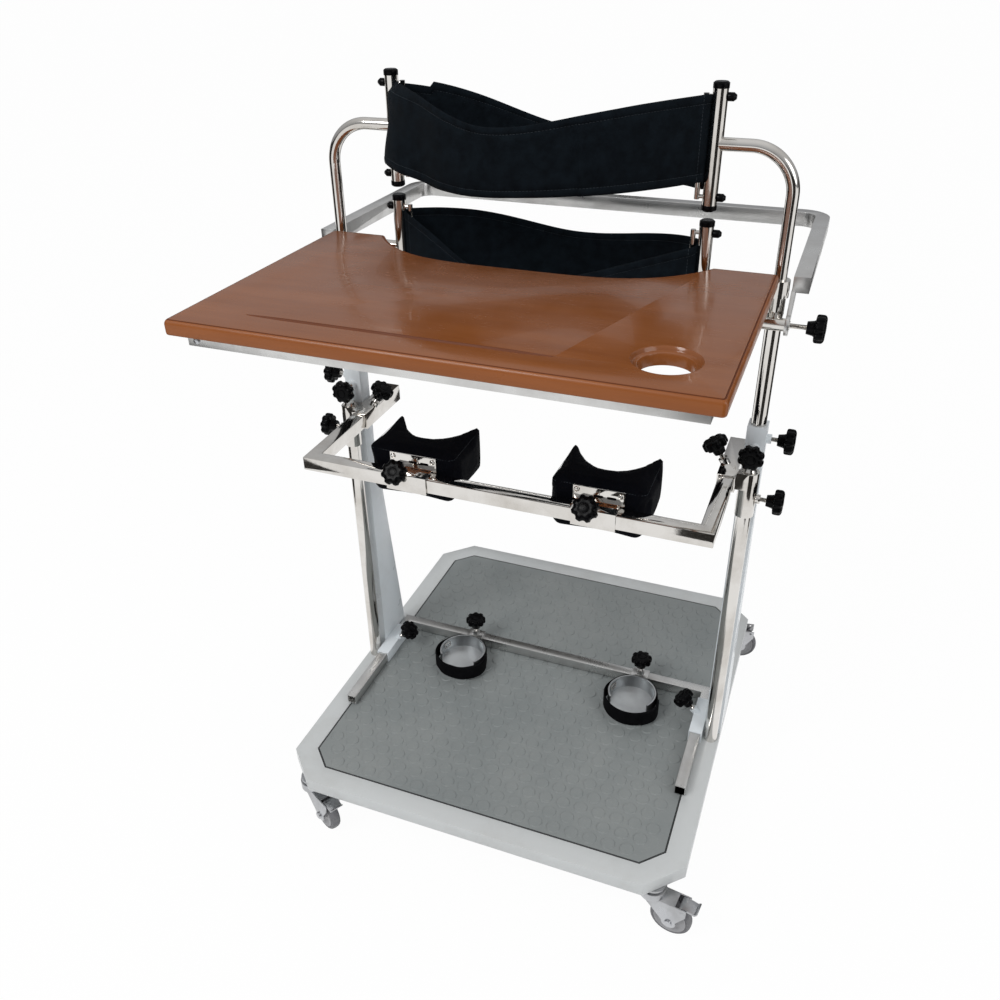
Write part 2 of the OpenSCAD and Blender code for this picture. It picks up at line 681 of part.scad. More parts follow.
module belt(base, front, rear) {
  plan = band_plan(front, rear);
  n = len(plan);
  rows = 4;
  side = 2 * (rows + 1);
  low = deck_z + base + (belt_post_l - band_h) / 2;
  function sag(p, share) = p[2] * (p[1] < 0 ? front_sag * (0.25 + 0.75 * share) : rear_sag * (0.6 + 0.4 * share));
  function normal(i) = let (d = plan[(i + 1) % n] - plan[(i + n - 1) % n], l = norm([d[0], d[1]])) [d[1], -d[0]] / l;
  function spot(i, out, row) = let (p = plan[i], q = normal(i), share = row / rows)
    [p[0] + out * q[0] * band_t / 2, mast_y + p[1] + out * q[1] * band_t / 2, low + band_h * share - sag(p, share)];
  points = [for (i = [0 : n - 1]) each concat(
    [for (row = [0 : rows]) spot(i, 1, row)], [for (row = [rows : -1 : 0]) spot(i, -1, row)])];
  polyhedron(points, [for (i = [0 : n - 1], j = [0 : side - 1])
    let (k = (i + 1) % n, a = i * side + j, b = i * side + (j + 1) % side, c = k * side + j, d = k * side + (j + 1) % side)
    each [[a, b, d], [a, d, c]]]);
}

module hip_belt() color("midnightblue") belt(hip_base, hip_front_bow, hip_rear_bow);

// Tray

// Outline of the tray moved inwards by a distance: along the front from the left, and
// back along the body cut-out
function tray_outline(d) = let (
    x = tray_w / 2 - d, r = tray_corner - d / 2, yf = tray_front_y + d, yr = tray_rear_y - d, steps = 28,
    half = cutout_half + d,
    across = [for (i = [0 : steps]) let (s = 1 - 2 * i / steps) sign(s) * pow(abs(s), 0.6)])
  concat(
    arc(-x + r, yf + r, r, 180, 270, 5),
    [for (u = across) [-half * u, yf]],
    arc(x - r, yf + r, r, 270, 360, 5),
    arc(x - r, yr - r, r, 0, 90, 5),
    [for (u = across) [half * u, yr - cutout_depth * (1 - pow(u, 4))]],
    arc(-x + r, yr - r, r, 90, 180, 5)
  );
function tray_ring(d, z) = [for (p = tray_outline(d)) [p[0], p[1], deck_z + tray_h - tray_t + z]];

module tray_board() color("sienna") {
  groove_r = (groove_w * groove_w / 4 + groove_depth * groove_depth) / (2 * groove_depth);
  groove_z = deck_z + tray_h + groove_r - groove_depth;
  groove_end = 30;
  difference() {
    loft([tray_ring(3, 0), tray_ring(0, 3), tray_ring(0, tray_t - tray_bevel), tray_ring(1.5, tray_t - 2.5),
          tray_ring(tray_bevel, tray_t)]);
    translate([cup_x, tray_front_y + cup_in, deck_z + tray_h - tray_t - 1]) cylinder(d = cup_d, h = tray_t + 2);
    translate([cup_x, tray_front_y + cup_in, deck_z + tray_h - cup_rim_depth])
      cylinder(d1 = cup_rim_d - 6, d2 = cup_rim_d, h = cup_rim_depth + 0.01);
    translate([groove_left + groove_end, tray_front_y + groove_in, groove_z])
      along_x(groove_r, groove_right - groove_left - 2 * groove_end);
    translate([groove_left, tray_front_y + groove_in, groove_z]) rotate([0, 90, 0])
      cylinder(r1 = groove_r - groove_depth, r2 = groove_r, h = groove_end);
    translate([groove_right - groove_end, tray_front_y + groove_in, groove_z]) rotate([0, 90, 0])
      cylinder(r1 = groove_r, r2 = groove_r - groove_depth, h = groove_end);
  }
}

// Rails under the tray, hung on the pivot bosses
module tray_frame() color("silver") {
  top = deck_z + tray_h - tray_t;
  front = tray_front_y + tray_rail_in;
  rear = boss_y + boss_d / 2;
  translate([0, 0, top - tray_rail / 2]) {
    side_start = front + tray_rail - tube_wall / 2;
    translate([0, front + tray_rail / 2, 0]) closed_tube_x(tray_rail, tray_rail_x + tray_rail / 2, tube_wall);
    for (side = SIDES) translate([side * tray_rail_x, side_start, 0])
      square_tube_y(tray_rail, rear - side_start, tube_wall);
  }
  for (side = SIDES) translate([side * tray_rail_x, 0, 0]) difference() {
    translate([-tray_rail / 2, boss_y - boss_d / 2, deck_z + pivot_h])
      cube([tray_rail, boss_d, top - tray_rail - deck_z - pivot_h]);
    translate([-tray_rail, boss_y, deck_z + pivot_h]) along_x(boss_d / 2, 2 * tray_rail);
  }
}

// Rear bar: a bent square tube on two pivot lugs

module rear_corner(r, w) rotate_extrude(angle = 90) translate([r, 0])
  difference() {
    square([w, w], center = true);
    square([w - 2 * tube_wall, w - 2 * tube_wall], center = true);
  }

module rear_bar() color("silver") {
  bend = rear_bend - rear_bar / 2;
  front = boss_y + arm_start;
  under = deck_z + rear_h - rear_bar / 2;
  lug_r = boss_d / 2 + 6;
  lug_foot = 45;
  for (side = SIDES) at_side(side) {
    translate([arm_x, front, deck_z + rear_h]) square_tube_y(rear_bar, rear_y - bend - front, tube_wall);
    translate([arm_x - rear_bar / 2, front, under]) cube([rear_bar, tube_wall, rear_bar]);
    translate([arm_x - bend, rear_y - bend, deck_z + rear_h]) rear_corner(bend, rear_bar);
    difference() {
      union() {
        translate([boss_end_x + press_gap, boss_y, deck_z + pivot_h]) along_x(lug_r, lug_t);
        extrude_x(boss_end_x + press_gap, lug_t) polygon([
          [boss_y - lug_r, deck_z + pivot_h], [boss_y + lug_r, deck_z + pivot_h],
          [front + lug_foot, under + tube_wall / 2], [front, under + tube_wall / 2]
        ]);
      }
      translate([boss_end_x, boss_y, deck_z + pivot_h]) along_x(journal_d / 2 + run_fit, lug_t + 2);
    }
  }
  translate([-arm_x + bend, rear_y, deck_z + rear_h]) rotate([0, 0, -90])
    square_tube_y(rear_bar, 2 * (arm_x - bend), tube_wall);
}

// Chest support

module gooseneck(side) at_side(side) translate([0, mast_y, deck_z]) {
  difference() {
    union() {
      translate([post_x, 0, mast_top - goose_inset]) cylinder(d = goose_d, h = goose_h - goose_bend - mast_top + goose_inset);
      translate([post_x - goose_bend, 0, goose_h - goose_bend]) rotate([90, 0, 0])
        rotate_extrude(angle = 90) translate([goose_bend, 0]) circle(d = goose_d);
      translate([belt_x, 0, goose_h]) along_x(goose_d / 2, post_x - goose_bend - belt_x);
    }
    translate([post_x, 0, mast_top - goose_inset - 1]) cylinder(d = goose_d - 2 * tube_wall, h = goose_inset);
    translate([belt_x, 0, chest_base]) cylinder(d = belt_post_d - 1, h = belt_post_l);
  }
  translate([belt_x, 0, chest_base]) belt_post();
}

module left_gooseneck() color("silver") gooseneck(LEFT);
module right_gooseneck() color("silver") gooseneck(RIGHT);
module chest_belt_rods() color("silver") belt_rods(chest_base);
module chest_post_caps() color("black") belt_caps(chest_base);
module chest_belt() color("midnightblue") belt(chest_base, chest_front_bow, chest_rear_bow);

// Knee bar

module knee_slider(side) difference() {
  union() {
    at_side(side) translate([post_x, guide_y, deck_z + slider_top - slider_h]) cylinder(r = slider_r, h = slider_h);
    at_side(side) translate([knee_arm_x - knee_outer / 2, -knee_socket_front, deck_z + knee_h - knee_outer / 2])
      cube([knee_outer, knee_socket_l, knee_outer]);
    at_side(side) translate([knee_arm_x, guide_y - slider_r, deck_z + knee_h - knee_outer / 2])
      cube([post_x - knee_arm_x, slider_r, knee_outer]);
    slider_place(side) nut();
    knee_socket_place(side) nut(tilted_sunk);
  }
  at_side(side) translate([post_x, guide_y, deck_z + slider_top - slider_h - 1])
    cylinder(r = guide_d / 2 + run_fit, h = slider_h + 2);
  at_side(side) translate([knee_arm_x - knee_bar_w / 2 - square_fit, -knee_socket_front - 1,
                           deck_z + knee_h - knee_bar_w / 2 - square_fit])
    cube([knee_bar_w + 2 * square_fit, knee_socket_l + 2, knee_bar_w + 2 * square_fit]);
  slider_place(side) stud_hole(slider_r);
  knee_socket_place(side) stud_hole(knee_outer / 2);
}

module knee_sliders() color("silver") for (side = SIDES) knee_slider(side);

module knee_bar() color("silver") translate([0, 0, deck_z + knee_h]) {
  arm_start = -knee_front + knee_bar_w - tube_wall / 2;
  for (side = SIDES) translate([side * knee_arm_x, arm_start, 0])
    square_tube_y(knee_bar_w, knee_arm_end - arm_start, tube_wall);
  translate([0, -knee_front + knee_bar_w / 2, 0])
    closed_tube_x(knee_bar_w, knee_arm_x + knee_bar_w / 2, tube_wall);
}

// A sleeve on the knee bar, with the plate that carries a pad behind it
block_w = 72;
plate_w = 84;
plate_h = 68;
plate_low = 30;
module knee_bracket(x) difference() {
  union() {
    translate([x - block_w / 2, -knee_front - square_fit - square_wall, deck_z + knee_h - knee_outer / 2])
      cube([block_w, knee_outer, knee_outer]);
    translate([x - plate_w / 2, pad_front_y - plate_t, deck_z + knee_h - plate_low]) cube([plate_w, plate_t, plate_h]);
    knee_block_place(x) nut(tilted_sunk);
  }
  translate([x - plate_w, -knee_front - square_fit, deck_z + knee_h - knee_bar_w / 2 - square_fit])
    cube([2 * plate_w, knee_bar_w + 2 * square_fit, knee_bar_w + 2 * square_fit]);
  knee_block_place(x) stud_hole(knee_outer / 2);
}

module left_knee_bracket() color("silver") knee_bracket(knee_left_x);
module right_knee_bracket() color("silver") knee_bracket(knee_right_x);

// Plan of a knee pad, drawn in by a distance, with its front edge moved back: two
// pointed horns with a hollow between them
function pad_outline(d, back) = let (
    a = pad_w / 2 - d, r = 10, tip_r = 4, tip = pad_depth - d, b = a - tip_r, web = pad_depth - pad_hollow_depth - d / 2,
    low = back + r, high = tip - tip_r,
    outer = concat(
      [for (s = [1, 2 / 3, 1 / 3]) [-a, low + (high - low) * s]],
      arc(-a + r, low, r, 180, 270, 4),
      [for (s = [-1, 0, 1]) [s * (a - r) / 2, back]],
      arc(a - r, low, r, 270, 360, 4),
      [for (s = [1 / 3, 2 / 3, 1]) [a, low + (high - low) * s]]),
    last = len(outer) - 1)
  concat(outer, [for (i = [0 : last]) let (u = 1 - 2 * i / last) [b * u, web + (tip - web) * u * u]]);

// Share of the pad's height, how far the sides are drawn in and how far the front is moved back
PAD_LAYERS = [[0, 9, 3], [0.14, 0.5, 0], [0.94, 0, 0], [1, 4, 3]];
module knee_pad(x) translate([x, pad_front_y, deck_z + knee_h - pad_low])
  loft([for (layer = PAD_LAYERS) [for (p = pad_outline(layer[1], layer[2])) [p[0], p[1], pad_h * layer[0]]]]);

module left_knee_pad() color("black") knee_pad(knee_left_x);
module right_knee_pad() color("black") knee_pad(knee_right_x);

// Foot bar

module foot_bar() color("silver") translate([0, 0, foot_z]) {
  rail_end = foot_cross_y - foot_bar_w / 2 + tube_wall / 2;
  for (side = SIDES) translate([side * foot_socket_x, -foot_front, 0])
    square_tube_y(foot_bar_w, rail_end + foot_front, tube_wall);
  translate([0, foot_cross_y, 0]) closed_tube_x(foot_bar_w, foot_socket_x + foot_bar_w / 2, tube_wall);
}

heel_outer_r = heel_d / 2 + heel_wall;
heel_floor_t = 2;
strap_gap = 26;
cup_mouth = 104;
clamp_w = 36;
module heel_clamp(x) difference() {
  union() {
    translate([x - clamp_w / 2, foot_cross_y - foot_outer / 2, foot_z - foot_outer / 2])
      cube([clamp_w, foot_outer, foot_outer]);
    translate([x - clamp_w / 2, heel_y, foot_z - foot_outer / 2 + 4])
      cube([clamp_w, foot_cross_y - foot_outer / 2 - heel_y + 1, foot_outer - 8]);
    heel_place(x) nut();
  }
  translate([x - clamp_w, foot_cross_y - foot_bar_w / 2 - square_fit, foot_z - foot_bar_w / 2 - square_fit])
    cube([2 * clamp_w, foot_bar_w + 2 * square_fit, foot_bar_w + 2 * square_fit]);
  translate([x, heel_y, deck_z]) cylinder(r = heel_outer_r + run_fit, h = 2 * heel_h);
  heel_place(x) stud_hole(square_wall + 1);
}

// A band open to the front by an angle
module open_band(r, t, h, from, to) rotate(from) rotate_extrude(angle = to - from)
  translate([r, 0]) square([t, h]);

// The cup's wall stands on a floor plate and is open to the front
module heel_cup(x) translate([x, heel_y, heel_z]) {
  open_band(heel_d / 2, heel_wall, heel_h, cup_mouth / 2 - 90, 270 - cup_mouth / 2);
  cylinder(d = heel_d + heel_wall, h = heel_floor_t);
}
// The strap goes round the cup from one side of the clamp to the other
module heel_strap(x) translate([x, heel_y, heel_z + 1])
  open_band(heel_outer_r + press_gap, strap_t, heel_h - 3, 90 + strap_gap, 450 - strap_gap);

module left_heel_clamp() color("silver") heel_clamp(heel_left_x);
module right_heel_clamp() color("silver") heel_clamp(heel_right_x);
module left_heel_cup() color("lightgray") heel_cup(heel_left_x);
module right_heel_cup() color("lightgray") heel_cup(heel_right_x);
module left_heel_strap() color("black") heel_strap(heel_left_x);
module right_heel_strap() color("black") heel_strap(heel_right_x);

// Knobs in their places

module on_nut() translate([0, 0, nut_l]) children();
mast_side_reach = nut_l + mast_wall_reach - press_gap;
mast_front_reach = nut_l + (post_top_depth - mast_d) / 2 - press_gap;
slider_reach = nut_l + slider_wall - 1 + run_fit - press_gap;
wall_reach = nut_l + square_wall;
// The tilted studs stop short of the corners of their square bars
function corner_reach(out, w, tilt) = nut_l + out - w / 2 * (sin(tilt) + cos(tilt)) - 2 * press_gap;
knee_socket_reach = corner_reach(knee_nut_out, knee_bar_w, socket_knob_tilt);
foot_rail_reach = corner_reach(foot_nut_out, foot_bar_w, foot_knob_tilt);
knee_block_reach = corner_reach(knee_nut_out, knee_bar_w, block_knob_tilt);
module left_mast_side_knob() color("black") mast_side_place(LEFT) on_nut() star_knob(mast_side_reach);
module right_mast_side_knob() color("black") mast_side_place(RIGHT) on_nut() star_knob(mast_side_reach);
module left_mast_front_knob() color("black") mast_front_place(LEFT) on_nut() star_knob(mast_front_reach);
module right_mast_front_knob() color("black") mast_front_place(RIGHT) on_nut() star_knob(mast_front_reach);
module left_slider_knob() color("black") slider_place(LEFT) on_nut() star_knob(slider_reach);
module right_slider_knob() color("black") slider_place(RIGHT) on_nut() star_knob(slider_reach);
module left_knee_socket_knob() color("black") knee_socket_place(LEFT) on_nut() star_knob(knee_socket_reach);
module right_knee_socket_knob() color("black") knee_socket_place(RIGHT) on_nut() star_knob(knee_socket_reach);
module left_rear_bar_knob() color("black") rear_bar_place(LEFT) star_knob(pivot_stud_l, pivot_stud_show);
module right_rear_bar_knob() color("black") rear_bar_place(RIGHT) star_knob(pivot_stud_l, pivot_stud_show);
module left_knee_block_knob() color("black") knee_block_place(knee_left_x) on_nut() star_knob(knee_block_reach);
module right_knee_block_knob() color("black") knee_block_place(knee_right_x) on_nut() star_knob(knee_block_reach);
module left_heel_knob() color("black") heel_place(heel_left_x) on_nut() star_knob(wall_reach);
module right_heel_knob() color("black") heel_place(heel_right_x) on_nut() star_knob(wall_reach);
module left_foot_rail_knob() color("black") foot_rail_place(LEFT) on_nut() star_knob(foot_rail_reach);
module right_foot_rail_knob() color("black") foot_rail_place(RIGHT) on_nut() star_knob(foot_rail_reach);

base_frame();
floor_mat();
left_post();
right_post();
left_guide_tube();
right_guide_tube();
caster_mounts();
front_left_caster_fork();
front_right_caster_fork();
rear_left_caster_fork();
rear_right_caster_fork();
front_left_wheel();
front_right_wheel();
rear_left_wheel();
rear_right_wheel();
front_left_brake_pedal();
front_right_brake_pedal();
mast_tubes();
hip_arms();
hip_belt_rods();
hip_post_caps();
hip_belt();
tray_board();
tray_frame();
rear_bar();
left_gooseneck();
right_gooseneck();
chest_belt_rods();
chest_post_caps();
chest_belt();
knee_sliders();
knee_bar();
left_knee_bracket();
right_knee_bracket();
left_knee_pad();
right_knee_pad();
foot_bar();
left_heel_clamp();
right_heel_clamp();
left_heel_cup();
right_heel_cup();
left_heel_strap();
right_heel_strap();
left_mast_side_knob();
right_mast_side_knob();
left_mast_front_knob();
right_mast_front_knob();
left_slider_knob();
right_slider_knob();
left_knee_socket_knob();
right_knee_socket_knob();
left_rear_bar_knob();
right_rear_bar_knob();
left_knee_block_knob();
right_knee_block_knob();
left_heel_knob();
right_heel_knob();
left_foot_rail_knob();
right_foot_rail_knob();
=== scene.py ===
# %% [markdown]
# # A standing frame, dressed piece by piece
# A standing frame holds up a person who can't stand alone: feet in heel cups, knees against pads, belts round
# the trunk, and a tray in front. The CAD solids are the fixed frame of this scene. Each cell below takes one
# kind of piece, says what it is on the real object, and gives it the shape and finish that the solids lack.

# %% Load the frame
import json
import math
import bmesh
import bpy
import numpy as np
from mathutils import Matrix, Vector, noise
from mathutils.bvhtree import BVHTree


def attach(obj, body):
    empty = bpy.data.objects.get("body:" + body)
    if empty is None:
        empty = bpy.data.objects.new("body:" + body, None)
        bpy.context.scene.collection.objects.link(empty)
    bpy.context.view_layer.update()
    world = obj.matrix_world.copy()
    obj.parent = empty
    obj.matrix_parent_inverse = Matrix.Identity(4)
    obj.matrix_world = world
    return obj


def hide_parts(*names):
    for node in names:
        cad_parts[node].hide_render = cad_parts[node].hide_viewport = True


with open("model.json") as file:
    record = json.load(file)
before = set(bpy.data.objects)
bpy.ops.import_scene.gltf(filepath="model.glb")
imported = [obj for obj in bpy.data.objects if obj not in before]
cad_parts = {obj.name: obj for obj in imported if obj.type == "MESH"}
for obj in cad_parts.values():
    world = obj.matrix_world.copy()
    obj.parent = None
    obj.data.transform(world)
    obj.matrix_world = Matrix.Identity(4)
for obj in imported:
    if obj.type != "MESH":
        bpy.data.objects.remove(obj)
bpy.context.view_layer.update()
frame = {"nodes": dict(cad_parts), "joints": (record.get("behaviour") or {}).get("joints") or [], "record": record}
scene = bpy.context.scene
NODES = frame["nodes"]
BODY_OF = {n: b for b, nodes in frame["record"]["behaviour"]["bodies"].items() for n in nodes}
JOINTS = {j["child"]: j for j in frame["joints"]}
SLOT_OF = {p["node"]: p["material_slot"] for p in frame["record"]["subparts"]}
MM = 0.001

# %% [markdown]
# ## Camera
# The photograph's camera was fitted to the base's corners, the masts and the tray, so its place and its three
# axes are known in the frame's own metres. The axes become the columns of the camera's matrix.

# %% Camera at the photograph's view
eye = Vector((0.4748, -1.3919, 1.5163))
yaw, pitch, roll = math.radians(21.496), math.radians(31.635), math.radians(-0.832)
back = Vector((math.sin(yaw) * math.cos(pitch), -math.cos(yaw) * math.cos(pitch), math.sin(pitch)))
level = Vector((0, 0, 1)).cross(back).normalized()
upright = back.cross(level)
right = math.cos(roll) * level + math.sin(roll) * upright
up = -math.sin(roll) * level + math.cos(roll) * upright
# The focal length is a share of the picture's width
SENSOR, FOCAL = 36.0, 0.9269
lens = bpy.data.cameras.new("photo_view")
lens.sensor_fit = "HORIZONTAL"
lens.sensor_width = SENSOR
lens.lens = SENSOR * FOCAL
camera = bpy.data.objects.new("photo_view", lens)
camera.matrix_world = Matrix.Translation(eye) @ Matrix((right, up, back)).transposed().to_4x4()
scene.collection.objects.link(camera)
scene.camera = camera
scene.view_settings.view_transform = "Standard"
print("camera at", tuple(round(v, 3) for v in eye))

# %% [markdown]
# ## Wiring nodes from Python
# Materials and Geometry Nodes are both node trees. One class makes any node from its type, its settings and
# the values or links of its sockets. Another wraps a socket, so that sums on surfaces read like sums on
# numbers.

# %% Node helpers


class Wire:
    """An output socket that takes part in arithmetic by adding Math nodes."""

    def __init__(self, graph, socket):
        self.graph, self.socket = graph, socket

    def __add__(self, other):
        return self.graph.math("ADD", self, other)

    def __sub__(self, other):
        return self.graph.math("SUBTRACT", self, other)

    def __mul__(self, other):
        return self.graph.math("MULTIPLY", self, other)

    def __rsub__(self, other):
        return self.graph.math("SUBTRACT", other, self)

    __radd__ = __add__
    __rmul__ = __mul__


class Graph:
    """A node tree and the one method that adds nodes to it."""

    def __init__(self, tree):
        self.tree = tree

    def node(self, kind, settings=None, sockets=None, out=0):
        n = self.tree.nodes.new(kind)
        for key, value in (settings or {}).items():
            if key == "stops":
                ramp = n.color_ramp.elements
                while len(ramp) < len(value):
                    ramp.new(0.5)
                for stop, (at, colour) in zip(ramp, value):
                    stop.position = at
                    stop.color = (*colour, 1)
            else:
                setattr(n, key, value)
        for key, value in (sockets or {}).items():
            if isinstance(value, Wire):
                self.tree.links.new(value.socket, n.inputs[key])
            else:
                n.inputs[key].default_value = value
        return Wire(self, n.outputs[out])

    def math(self, operation, *values):
        return self.node("ShaderNodeMath", {"operation": operation}, dict(enumerate(values)))


class Finish(Graph):
    """A procedural material on one Principled shader."""

    def __init__(self, name, **shader):
        self.material = bpy.data.materials.new(name)
        self.material.use_nodes = True
        super().__init__(self.material.node_tree)
        self.shader = self.tree.nodes["Principled BSDF"]
        self.object = self.node("ShaderNodeTexCoord", out="Object")
        self.uv = self.node("ShaderNodeTexCoord", out="UV")
        for key, value in shader.items():
            self.feed(key.replace("_", " ").title().replace("Ior", "IOR"), value)

    def feed(self, socket, value):
        if isinstance(value, Wire):
            self.tree.links.new(value.socket, self.shader.inputs[socket])
        else:
            self.shader.inputs[socket].default_value = value

    def stretch(self, scale):
        return self.node("ShaderNodeMapping", None, {"Vector": self.object, "Scale": scale})

    def noise(self, scale, detail=3.0, rough=0.55, source=None):
        return self.node("ShaderNodeTexNoise", None, {
            "Vector": source or self.object, "Scale": scale, "Detail": detail, "Roughness": rough})

    def span(self, value, low, high, to_low=0.0, to_high=1.0):
        return self.node("ShaderNodeMapRange", {"clamp": True},
                         {"Value": value, 1: low, 2: high, 3: to_low, 4: to_high})

    def blend(self, factor, a, b):
        def four(c):
            return c if isinstance(c, Wire) else (*c, 1)
        return self.node("ShaderNodeMix", {"data_type": "RGBA"}, {0: factor, 6: four(a), 7: four(b)}, 2)

    def bump(self, height, distance, strength=1.0):
        normal = self.node("ShaderNodeBump", None,
                           {"Height": height, "Distance": distance, "Strength": strength})
        self.feed("Normal", normal)


# %% [markdown]
# ## Finishes
# Every finish varies a little over the surface, as the real ones do: paint has orange peel and grime, chrome
# has smears, laminate has grain, cloth has threads. The scales are real sizes, because the coordinates are in
# metres.

# %% Paint and metal finishes


def painted(name, clean, grimy, rough):
    f = Finish(name, coat_weight=0.25)
    grime = f.span(f.noise(9, 6, 0.65), 0.48, 0.78)
    specks = f.span(f.noise(220, 2), 0.7, 0.82)
    f.feed("Base Color", f.blend(grime * 0.45 + specks * 0.35, clean, grimy))
    f.feed("Roughness", f.span(f.noise(30, 4), 0.3, 0.7, rough - 0.06, rough + 0.12))
    f.bump(f.noise(450, 2), 0.00025, 0.25)
    return f


def metal(name, bright, dull, rough_low, rough_high):
    f = Finish(name, metallic=1.0)
    haze = f.span(f.noise(14, 5, 0.6), 0.4, 0.75)
    streak = f.noise(1, 3, 0.5, f.stretch((260, 260, 18)))
    f.feed("Base Color", f.blend(haze, bright, dull))
    f.feed("Roughness", f.span(haze * 0.6 + streak * 0.4, 0.15, 0.75, rough_low, rough_high))
    f.bump(f.noise(120, 3), 0.0002, 0.12)
    return f


white_paint = painted("white_paint", (0.74, 0.79, 0.82), (0.55, 0.57, 0.57), 0.32)
rail_paint = painted("rail_paint", (0.58, 0.60, 0.60), (0.42, 0.42, 0.40), 0.36)
cup_steel = metal("cup_steel", (0.54, 0.56, 0.57), (0.42, 0.43, 0.44), 0.30, 0.44)
chrome = metal("chrome", (0.72, 0.70, 0.67), (0.54, 0.51, 0.47), 0.05, 0.14)
satin_steel = metal("satin_steel", (0.66, 0.66, 0.65), (0.52, 0.51, 0.50), 0.26, 0.42)
zinc = metal("zinc", (0.52, 0.53, 0.55), (0.34, 0.34, 0.34), 0.26, 0.46)
print("paint and metal finishes made")

# %% Plastic, rubber, wood and cloth finishes


def moulded(name, colour, worn, rough, gloss=0.4):
    f = Finish(name, specular_ior_level=gloss)
    wear = f.span(f.noise(70, 4, 0.6), 0.5, 0.8)
    f.feed("Base Color", f.blend(wear, colour, worn))
    f.feed("Roughness", f.span(f.noise(160, 3), 0.3, 0.7, rough - 0.07, rough + 0.1))
    f.bump(f.noise(900, 2), 0.00015, 0.3)
    return f


black_plastic = moulded("black_plastic", (0.0016, 0.0016, 0.0020), (0.005, 0.005, 0.006), 0.24, 0.07)
# Near-black, painted shade for the gap round the mat's bevelled edge
edge_rubber = moulded("edge_rubber", (0.012, 0.012, 0.013), (0.03, 0.03, 0.03), 0.7, 0.15)
tyre_rubber = moulded("tyre_rubber", (0.16, 0.16, 0.17), (0.26, 0.26, 0.26), 0.6)
hub_plastic = moulded("hub_plastic", (0.36, 0.36, 0.37), (0.28, 0.28, 0.29), 0.45)

mat_rubber = Finish("mat_rubber")
dust = mat_rubber.span(mat_rubber.noise(5, 6, 0.65), 0.4, 0.75)
fleck = mat_rubber.span(mat_rubber.noise(260, 2), 0.55, 0.75)
mat_tone = mat_rubber.blend(dust * 0.7 + fleck * 0.3, (0.215, 0.235, 0.235), (0.29, 0.305, 0.30))
mat_rubber.feed("Base Color", mat_tone)
mat_rubber.feed("Roughness", mat_rubber.span(mat_rubber.noise(40, 3), 0.3, 0.7, 0.48, 0.66))
mat_rubber.bump(mat_rubber.noise(700, 2), 0.0004, 0.3)


def laminate(name, light, dark, gloss, coat):
    f = Finish(name, coat_weight=coat, specular_ior_level=0.35)
    wave = f.noise(1.0, 4, 0.6, f.stretch((3, 26, 26)))
    fibre = f.noise(1.0, 3, 0.6, f.stretch((14, 420, 420)))
    pore = f.span(f.noise(1.0, 2, 0.5, f.stretch((60, 900, 900))), 0.62, 0.75)
    f.feed("Base Color", f.blend(f.span(wave * 0.75 + fibre * 0.25, 0.25, 0.75), light, dark))
    f.feed("Roughness", f.span(f.noise(22, 4), 0.3, 0.7, gloss - 0.04, gloss + 0.08) + pore * 0.06)
    f.bump(fibre * 0.6 - pore * 0.4, 0.0002, 0.08)
    return f


tray_face = laminate("tray_face", (0.262, 0.088, 0.026), (0.182, 0.055, 0.014), 0.20, 0.12)
tray_edge = laminate("tray_edge", (0.290, 0.086, 0.016), (0.205, 0.058, 0.010), 0.30, 0.02)
# Darker and rougher: painted shade in the pencil groove and in the seam at the face's edge
tray_groove = laminate("tray_groove", (0.150, 0.036, 0.006), (0.115, 0.027, 0.004), 0.60, 0.0)


def cloth(name, colour, lit, pitch, rough=0.82):
    """Plain weave on the piece's own UV map, which is in metres along and across the cloth."""
    f = Finish(name, specular_ior_level=0.06)
    split = f.tree.nodes.new("ShaderNodeSeparateXYZ")
    f.tree.links.new(f.uv.socket, split.inputs[0])
    turn = 2 * math.pi / pitch
    warp = f.math("SINE", Wire(f, split.outputs[0]) * turn)
    weft = f.math("SINE", Wire(f, split.outputs[1]) * turn)
    weave = warp * weft * 0.5 + 0.5
    nap = f.noise(60, 5, 0.65)
    f.feed("Base Color", f.blend(f.span(nap, 0.35, 0.75) * 0.75 + weave * 0.25, colour, lit))
    f.feed("Roughness", f.span(nap, 0.3, 0.7, rough - 0.08, rough + 0.1))
    f.bump(weave * 0.5 + nap * 0.5, 0.0005, 0.45)
    return f


belt_cloth = cloth("belt_cloth", (0.0012, 0.0023, 0.0038), (0.0070, 0.0112, 0.0155), 0.0016)
pad_cloth = cloth("pad_cloth", (0.0009, 0.0011, 0.0024), (0.0034, 0.0040, 0.0066), 0.0018)
webbing = cloth("webbing", (0.0016, 0.0016, 0.0022), (0.0060, 0.0060, 0.0072), 0.0024, 0.7)
thread = cloth("thread", (0.022, 0.027, 0.033), (0.055, 0.064, 0.074), 0.0006, 0.6)
print("plastic, rubber, wood and cloth finishes made")

# %% [markdown]
# ## Piece helpers
# A piece is a mesh object at the origin, with its place in its points. It rides on the body of the node that
# it stands for or sits on. Rings of equal point counts, joined by quads, give lathe work and lofts alike.

# %% Piece helpers


def shade(mesh, degrees=38):
    mesh.shade_smooth()
    mesh.set_sharp_from_angle(angle=math.radians(degrees))


def piece(name, points, faces, finishes, degrees=38, indices=None):
    mesh = bpy.data.meshes.new(name)
    mesh.from_pydata([tuple(p) for p in points], [], faces)
    for f in finishes:
        mesh.materials.append(f.material)
    if indices is not None:
        mesh.polygons.foreach_set("material_index", np.asarray(indices, np.int32))
    mesh.update()
    shade(mesh, degrees)
    obj = bpy.data.objects.new(name, mesh)
    scene.collection.objects.link(obj)
    return obj


def settle(obj):
    """Turns an object's modifiers into a plain mesh."""
    ready = obj.evaluated_get(bpy.context.evaluated_depsgraph_get())
    mesh = bpy.data.meshes.new_from_object(ready)
    obj.modifiers.clear()
    obj.data = mesh
    return obj


